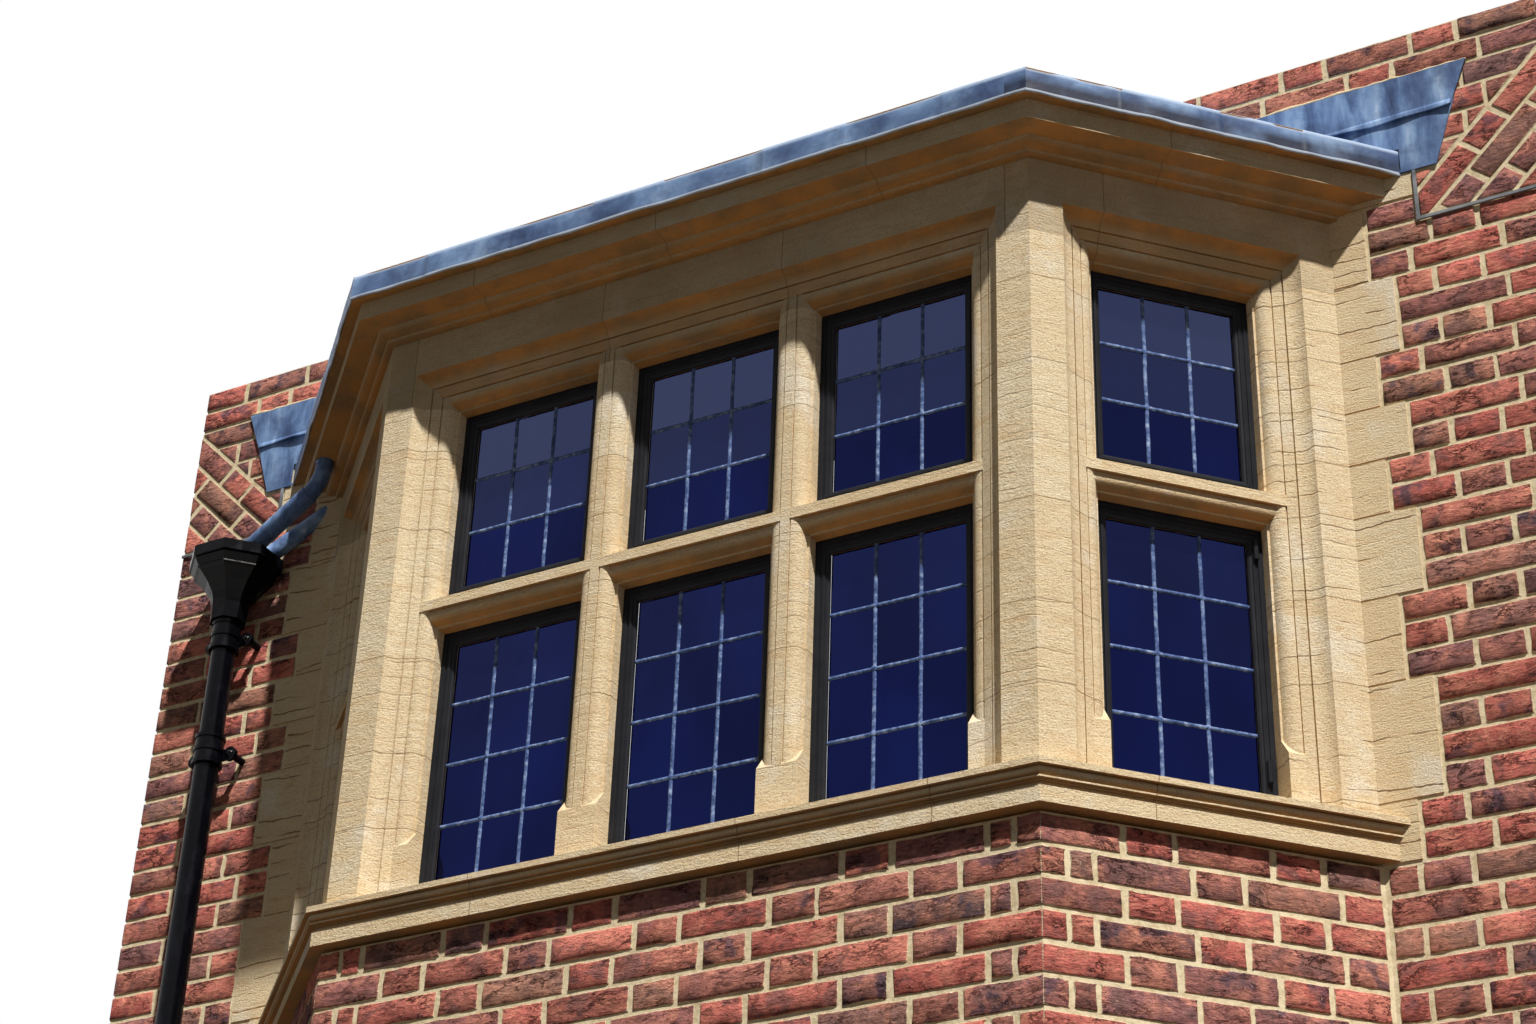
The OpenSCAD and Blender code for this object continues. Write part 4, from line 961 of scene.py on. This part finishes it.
class BAY_OT_lead(PieceOperator, bpy.types.Operator):
    """Dresses the lead roof over its deck, with laps and a hemmed drip, and finishes the flashings
    with their pointing, curled lower edges and the roof's turned-up edge behind them"""
    bl_idname = "bay.lead"
    bl_label = "Lead roof"

    def execute(self, context):
        lead = kept_material("sheet_lead", lead_material, "sheet_lead")
        assign("side_flashings", lead)
        assign("cover_flashing", lead)
        heap = Heap()
        rng = np.random.default_rng(31)
        for plane, half in ((FRONT, FRONT_W / 2), (RIGHT, CANT_W / 2), (LEFT, CANT_W / 2)):
            self.sheet(heap, plane, half, context.scene.bay_lead.bay, rng)
        drip = lead_material("drip_lead", (0.9, 0.9, 0.7), DECK_Z + 0.008)
        heap.piece("lead_covering", [drip], "lead_sheet", ("lead_roof",))
        self.pointing()
        self.flashing_edges(lead)
        return {"FINISHED"}

    def sheet(self, heap, plane, half, bay, rng):
        """One side of the roof: a grid that runs down the slope, over the edge, down the drip and back
        under its hem. It steps a little at every lap, and the drip waves along its length."""
        count = max(3, int(round((2 * half + 0.3) / bay)))
        cuts = np.linspace(0, 1, count + 1)
        cuts[1:-1] += rng.normal(0, 0.012, count - 1)
        s = np.unique(np.concatenate([np.linspace(0, 1, 64), cuts[1:-1], cuts[1:-1] + 0.0012]))
        odd = np.searchsorted(cuts[1:-1] + 0.0006, s) % 2
        lap = 0.0014 * odd + 0.0006 * np.sin(37.0 * s + half * 9) * np.sin(11.0 * s + 1.3)
        wave = 0.0012 * np.sin(2 * math.pi * s * count * 0.9 + 0.7) + 0.0006 * np.sin(61.0 * s)
        roof = np.linspace(OUT + LEAD_EDGE, 0.06, 14)
        back, drop, kick = np.concatenate([np.stack([roof, 0 * roof, 0 * roof], 1), DRIP]).T[:, :, None]
        hangs = drop > 0
        slack = np.clip(lap + wave * (drop / 0.06), 0.0, 0.0035)
        depth = back + kick - np.where(hangs, slack, 0.0) - DRIP_OUT
        height = ROOF_Z + back * ROOF_SLOPE * ~hangs - drop + np.where(hangs, 0.0, 0.0022 * odd)
        height += np.where(drop > 0.055, 0.0012 * np.sin(2 * math.pi * s * count * 1.7), 0.0)
        low = -half + depth * (HALF_MITRE if plane is not LEFT else 1 / math.tan(TURN))
        high = half - depth * (HALF_MITRE if plane is not RIGHT else 1 / math.tan(TURN))
        heap.put(plane.at(low + (high - low) * s, height, depth), grid_faces(*height.shape).tolist())

    def pointing(self):
        """The mortar pointed over the flashing's top edge: a half round strip of uneven width along
        the chase, and its lower line follows the lead."""
        rng = np.random.default_rng(33)
        rows, columns = 160, 7
        s = np.linspace(-CORNER_X - 0.392, CORNER_X + 0.392, rows)[:, None]
        wide = 0.0075 + 0.0030 * rng.uniform(-1, 1, (rows, 1))
        sway = 0.0020 * np.sin(9.0 * s) + rng.normal(0, 0.0008, (rows, 1))
        turn = np.linspace(-0.5 * math.pi, 0.5 * math.pi, columns)
        height = FLASH_Z + 0.003 + sway + wide * np.sin(turn)
        depth = 0.002 - 0.0105 * np.cos(turn) * (wide / 0.0095)
        heap = Heap()
        heap.put(WALL.at(s + 0 * height, height, depth), tube_faces(rows, columns))
        mortar = kept_material("lime_mortar", mortar_material, bpy.context.scene.bay_brick)
        heap.piece("flashing_pointing", [mortar], "brickwork")

    def flashing_edges(self, lead):
        """The free lower edge of the cover flashing, curled off the wall: a thin sheet whose section
        bends outwards, with the curl and the height of its edge waving along it. Behind it the roof's
        sheet turns up the wall, a thin plate from the slope of the end roof to behind the flashing."""
        lips, plates = Heap(), Heap()
        rows = 70
        share = np.array([0.0, 0.3, 0.8, 1.0, 1.0, 0.6, 0.0, 0.0])
        out = np.array([0.0082, 0.0086, 0.0088, 0.0084, 0.0070, 0.0066, 0.0060, 0.0060])
        rise = np.array([0.012, 0.004, -0.002, -0.006, -0.0064, -0.002, 0.004, 0.012])
        for side in (-1, 1):
            s = np.linspace(UPSTAND_X[0], CORNER_X + 0.343, rows)[:, None]
            curl = 0.0045 + 0.0030 * np.sin(13.0 * s + side) + 0.0020 * np.sin(41.0 * s)
            wave = 0.0030 * np.sin(9.0 * s + 2.0 * side) + 0.0014 * np.sin(33.0 * s)
            height = FLASH_LOW + rise + wave * (rise < 0)
            points = WALL.at(side * s + 0 * height, height, -(out + share * curl))
            lips.put(points, tube_faces(rows, len(out), side > 0))
            a = side * np.array([*UPSTAND_X, *UPSTAND_X[::-1]])
            b = np.array([*UPSTAND_FOOT, UPSTAND_TOP, UPSTAND_TOP])
            points = np.concatenate([WALL.at(a, b, np.full(4, d)) for d in (-0.0036, -0.0006)])
            plates.put(points, tube_faces(2, 4, side < 0))
        lips.piece("flashing_lips", [lead], "lead_sheet")
        plates.piece("roof_upstands", [lead], "lead_sheet", smooth=False)


class BAY_OT_windows(PieceOperator, bpy.types.Operator):
    """Hangs the metal windows: fixed frame and casement round every light, with the hinges of the
    opening light in the right cant"""
    bl_idname = "bay.windows"
    bl_label = "Window frames"

    def execute(self, context):
        paint = paint_material("frame_paint", tint(26, 29, 36), 0.42, 0.12)
        fixed = [(0, 0), (0.011, 0), (0.012, 0.0005), (0.013, 0.0035), (0.018, 0.0035), (0.018, 0.036),
                 (0, 0.036)]
        casement = [(0.0192, 0.0015), (0.0250, 0.0015), (0.0260, 0.0022), (0.0265, 0.0050), (0.0320, 0.0062),
                    (0.0360, 0.0100), (0.0360, 0.0160), (0.0192, 0.0160)]
        slack = 0.0005
        groups = {"frames_front_lower": [], "frames_front_upper": [], "frames_left": [], "frames_right": []}
        for plane, centre in LIGHTS:
            for row, (low, high) in (("lower", LOWER), ("upper", UPPER)):
                name = "front_" + row if plane is FRONT else "left" if plane is LEFT else "right"
                groups["frames_" + name].append((plane, centre, low, high - slack))
        for name, lights in groups.items():
            heap = Heap()
            for plane, centre, low, high in lights:
                for profile in (fixed, casement):
                    section = [(t, d + FRAME_DEPTH) for t, d in profile[::-1]]
                    heap.put(*ring_frame(plane, centre, low, high, LIGHT_W / 2 - slack, section))
            if name == "frames_right":
                for z in HINGE_Z:
                    foot = RIGHT.at(np.array(HINGE_X), np.array(z), np.array(FRAME_DEPTH - 0.003))
                    heap.put(*round_bar(foot, foot + vec(0, 0, 0.055), [(0, 0.0065), (1, 0.0065)]))
            heap.piece(name + "_dressed", [paint], "window_metal", (name,), smooth=False)
        return {"FINISHED"}


class BAY_OT_glazing(PieceOperator, bpy.types.Operator):
    """Glazes every light with its own small panes, and the lead cames soldered between them"""
    bl_idname = "bay.glazing"
    bl_label = "Leaded glass"

    def execute(self, context):
        look = context.scene.bay_window
        glass, lead = glass_material(look), came_material()
        rebate, across = 0.0365, 3
        columns = np.linspace(rebate - LIGHT_W / 2, LIGHT_W / 2 - rebate, across + 1)
        for row, (low, high), count in (("lower", LOWER, 4), ("upper", UPPER, 3)):
            rng = np.random.default_rng(41 + count)
            levels = np.linspace(low + 0.036, high - rebate, count + 1)
            # Painted reflection of the stone head: the top two rows of panes get a grey share, far more in
            # the upper lights.
            grey = np.repeat([0.0] * (count - 2) + [0.45, 1.0], across) * (0.9 if row == "upper" else 0.12)
            panes, cames = Heap(), Heap()
            for plane, centre in LIGHTS:
                boxes = [(centre + columns[i], centre + columns[i + 1], levels[j], levels[j + 1])
                         for j in range(count) for i in range(across)]
                chance = rng.uniform(0, 1, (len(boxes), 4))
                chance[:, 1] = grey * rng.uniform(0.7, 1.0, len(boxes))
                panes.put(*cap_blocks(plane, boxes, rng, arris=0.0, waver=0.0, relief=0.0002,
                                      sink=GLASS_DEPTH + 0.0033, sit=GLASS_DEPTH, tones=chance))
                self.cames(cames, plane, centre, columns, levels, look.came_w, rng)
            panes.piece(f"panes_{row}", [glass], "leaded_glass", (f"glass_{row}",), smooth=False)
            cames.piece(f"cames_{row}", [lead], "lead_sheet")
        return {"FINISHED"}

    def cames(self, heap, plane, centre, columns, levels, width, rng):
        """Flat oval bars along every line of the grid, and a flattened bead of solder where two cross."""
        angle = np.linspace(0, 2 * math.pi, 10, endpoint=False)
        side, depth = np.cos(angle) * width / 2, GLASS_DEPTH - np.sin(angle) * 0.0038
        for lines, ends, steps, upright in ((columns, levels, 14, True), (levels, columns, 10, False)):
            for line in lines[1:-1]:
                t = np.linspace(ends[0], ends[-1], steps)[:, None] + 0 * side
                sway = line + rng.normal(0, 0.0003, (steps, 1)) + side
                a, b = (sway, t) if upright else (t, sway)
                bar = plane.at(centre + a, b, depth + 0 * t)
                heap.put(bar, tube_faces(steps, 10, not upright), flat=2)
        ring = np.linspace(0, 2 * math.pi, 8, endpoint=False)
        depth = GLASS_DEPTH - 0.0026 - 0.7 * np.array([[0.0], [0.0018], [0.0030]]) + 0 * ring
        for a in columns[1:-1]:
            for b in levels[1:-1]:
                spread = np.array([[0.0080], [0.0064], [0.0030]]) * rng.uniform(0.85, 1.15)
                points = plane.at(centre + a + spread * np.cos(ring), b + spread * np.sin(ring), depth)
                heap.put(points, tube_faces(3, 8, True))


class BAY_OT_rainwater(PieceOperator, bpy.types.Operator):
    """Paints the hopper head, downpipe and collars, bolts the collars to the wall, and finishes the
    outlet pipe in lead"""
    bl_idname = "bay.rainwater"
    bl_label = "Rainwater goods"

    def execute(self, context):
        iron = iron_material()
        for node in ("hopper_head", "downpipe", "pipe_collars"):
            assign(node, iron)
        assign("outlet_pipe", lead_material("outlet_lead", (3.0, 3.0, 1.6)))
        bolts = Heap()
        for z in EAR_Z:
            for side in (-1, 1):
                foot = vec(PIPE_X + side * EAR_OUT, EAR_FACE, z)
                bolts.put(*round_bar(foot, foot - vec(0, BOLT_L, 0), BOLT))
        bolts.piece("collar_bolts", [iron], "black_iron")
        return {"FINISHED"}


class BAY_OT_lining(PieceOperator, bpy.types.Operator):
    """Finishes the floor, ceiling, beam, deck and damp course"""
    bl_idname = "bay.lining"
    bl_label = "Floor, ceiling and beam"

    def execute(self, context):
        assign("floor", boards_material())
        assign("ceiling", plaster_material("ceiling_plaster", tint(236, 232, 222)))
        assign("lintel_beam", rough_material("cast_concrete", tint(140, 138, 132), tint(178, 176, 168), 40.0))
        assign("roof_deck", rough_material("deck_timber", tint(124, 92, 58), tint(170, 132, 88), 20.0))
        assign("damp_course", rough_material("damp_lead", tint(92, 94, 100), tint(168, 172, 180), 30.0))
        return {"FINISHED"}


def seen_directly(tree):
    """1 where the camera, a reflection or a view through glass looks, 0 for the light that bounces."""
    path = tree.nodes.new("ShaderNodeLightPath")
    seen = path.outputs["Is Camera Ray"]
    for name in ("Is Glossy Ray", "Is Transmission Ray"):
        either = tree.nodes.new("ShaderNodeMath")
        either.operation = "MAXIMUM"
        tree.links.new(seen, either.inputs[0])
        tree.links.new(path.outputs[name], either.inputs[1])
        seen = either.outputs[0]
    return seen


def add_sun(scene, name, strength, spread, source, colour=(1.0, 1.0, 1.0)):
    """A lamp that shines from the direction of source, softened over spread degrees."""
    light = bpy.data.lights.new(name, "SUN")
    light.energy, light.angle, light.color = strength, math.radians(spread), colour
    lamp = bpy.data.objects.new(name, light)
    lamp.rotation_euler = Vector(source).to_track_quat("Z", "Y").to_euler()
    scene.collection.objects.link(lamp)


class BAY_OT_stage(PieceOperator, bpy.types.Operator):
    """Sets the pale floor, the light and the camera at the photograph's place"""
    bl_idname = "bay.stage"
    bl_label = "Floor, light and camera"

    def execute(self, context):
        scene = context.scene
        self.floor(scene)
        self.surroundings(scene)
        add_sun(scene, "key", 5.35, 1.5, (0.972, -1.0, 2.228), (1.0, 0.965, 0.91))
        add_sun(scene, "fill", 1.1, 40, (-0.45, 1.0, 0.9))
        # The lens, turn and place solved from the photograph, which is 1536 pixels wide.
        camera = bpy.data.objects.new("camera", bpy.data.cameras.new("camera"))
        camera.data.sensor_width = 36.0
        camera.data.lens = 2934.55 / 1536 * 36.0
        turn = Matrix.Rotation(1.1097466, 3, Vector((0.8863975, 0.2495384, -0.3887422))).transposed()
        right, down, ahead = turn.col[0], turn.col[1], turn.col[2]
        place = Matrix((right, -down, -ahead)).transposed().to_4x4()
        place.translation = (3.186, -5.816, -1.906)
        camera.matrix_world = place
        scene.collection.objects.link(camera)
        scene.camera = camera
        scene.view_settings.view_transform = "Standard"
        return {"FINISHED"}

    def floor(self, scene):
        """A wide pale floor that is clear from below, and that bounces less light than it shows."""
        g = Graph("studio_floor", rough=0.9, specular=0.1)
        pale = g.mix(g.noise(0.8, 2.0), tint(236, 235, 232), tint(232, 231, 228))
        material = g.done(g.mix(seen_directly(g.tree), tint(76, 72, 66), pale))
        under = g.add("ShaderNodeNewGeometry", "Backfacing")
        clear = g.add("ShaderNodeBsdfTransparent")
        surface = g.add("ShaderNodeMixShader", 0, {0: under, 1: g.shader.outputs[0], 2: clear})
        g.feed(g.tree.nodes["Material Output"].inputs["Surface"], surface)
        mesh = bpy.data.meshes.new("studio_floor")
        mesh.from_pydata([(-40, -40, 0), (40, -40, 0), (40, 40, 0), (-40, 40, 0)], [], [(0, 1, 2, 3)])
        mesh.materials.append(material)
        floor = bpy.data.objects.new("studio_floor", mesh)
        scene.collection.objects.link(floor)

    def surroundings(self, scene):
        """A world that shows white and lights the bay with a faint cool sky."""
        world = bpy.data.worlds.new("studio")
        scene.world = world
        world.use_nodes = True
        tree = world.node_tree
        light = tree.nodes["Background"]
        light.inputs["Color"].default_value = (0.93, 0.96, 1.0, 1.0)
        light.inputs["Strength"].default_value = 0.10
        white = tree.nodes.new("ShaderNodeBackground")
        white.inputs["Color"].default_value = (1.0, 1.0, 1.0, 1.0)
        blend = tree.nodes.new("ShaderNodeMixShader")
        tree.links.new(seen_directly(tree), blend.inputs[0])
        tree.links.new(light.outputs[0], blend.inputs[1])
        tree.links.new(white.outputs[0], blend.inputs[2])
        tree.links.new(blend.outputs[0], tree.nodes["World Output"].inputs["Surface"])


OPERATORS = (BAY_OT_mortar, BAY_OT_apron_bricks, BAY_OT_wall_bricks, BAY_OT_stone, BAY_OT_lead,
             BAY_OT_windows, BAY_OT_glazing, BAY_OT_rainwater, BAY_OT_lining, BAY_OT_stage)
SETTINGS = {"bay_brick": BrickLook, "bay_stone": StoneLook, "bay_window": WindowLook, "bay_lead": LeadLook}


class BAY_PT_panel(bpy.types.Panel):
    """Lists the settings and the steps of the bay window"""
    bl_idname = "BAY_PT_panel"
    bl_label = "Bay window"
    bl_space_type = "VIEW_3D"
    bl_region_type = "UI"
    bl_category = "Bay Window"

    def draw(self, context):
        for name, group in SETTINGS.items():
            box = self.layout.box()
            for key in group.__annotations__:
                box.prop(getattr(context.scene, name), key)
        for operator in OPERATORS:
            self.layout.operator(operator.bl_idname)


def register():
    for item in (*SETTINGS.values(), *OPERATORS, BAY_PT_panel):
        bpy.utils.register_class(item)
    for name, group in SETTINGS.items():
        setattr(bpy.types.Scene, name, PointerProperty(type=group))


def unregister():
    for name in SETTINGS:
        delattr(bpy.types.Scene, name)
    for item in (BAY_PT_panel, *reversed(OPERATORS), *reversed(SETTINGS.values())):
        bpy.utils.unregister_class(item)


def main():
    """Registers the add-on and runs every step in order."""
    register()
    for operator in OPERATORS:
        group, name = operator.bl_idname.split(".")
        getattr(getattr(bpy.ops, group), name)()


if __name__ == "__main__":
    main()
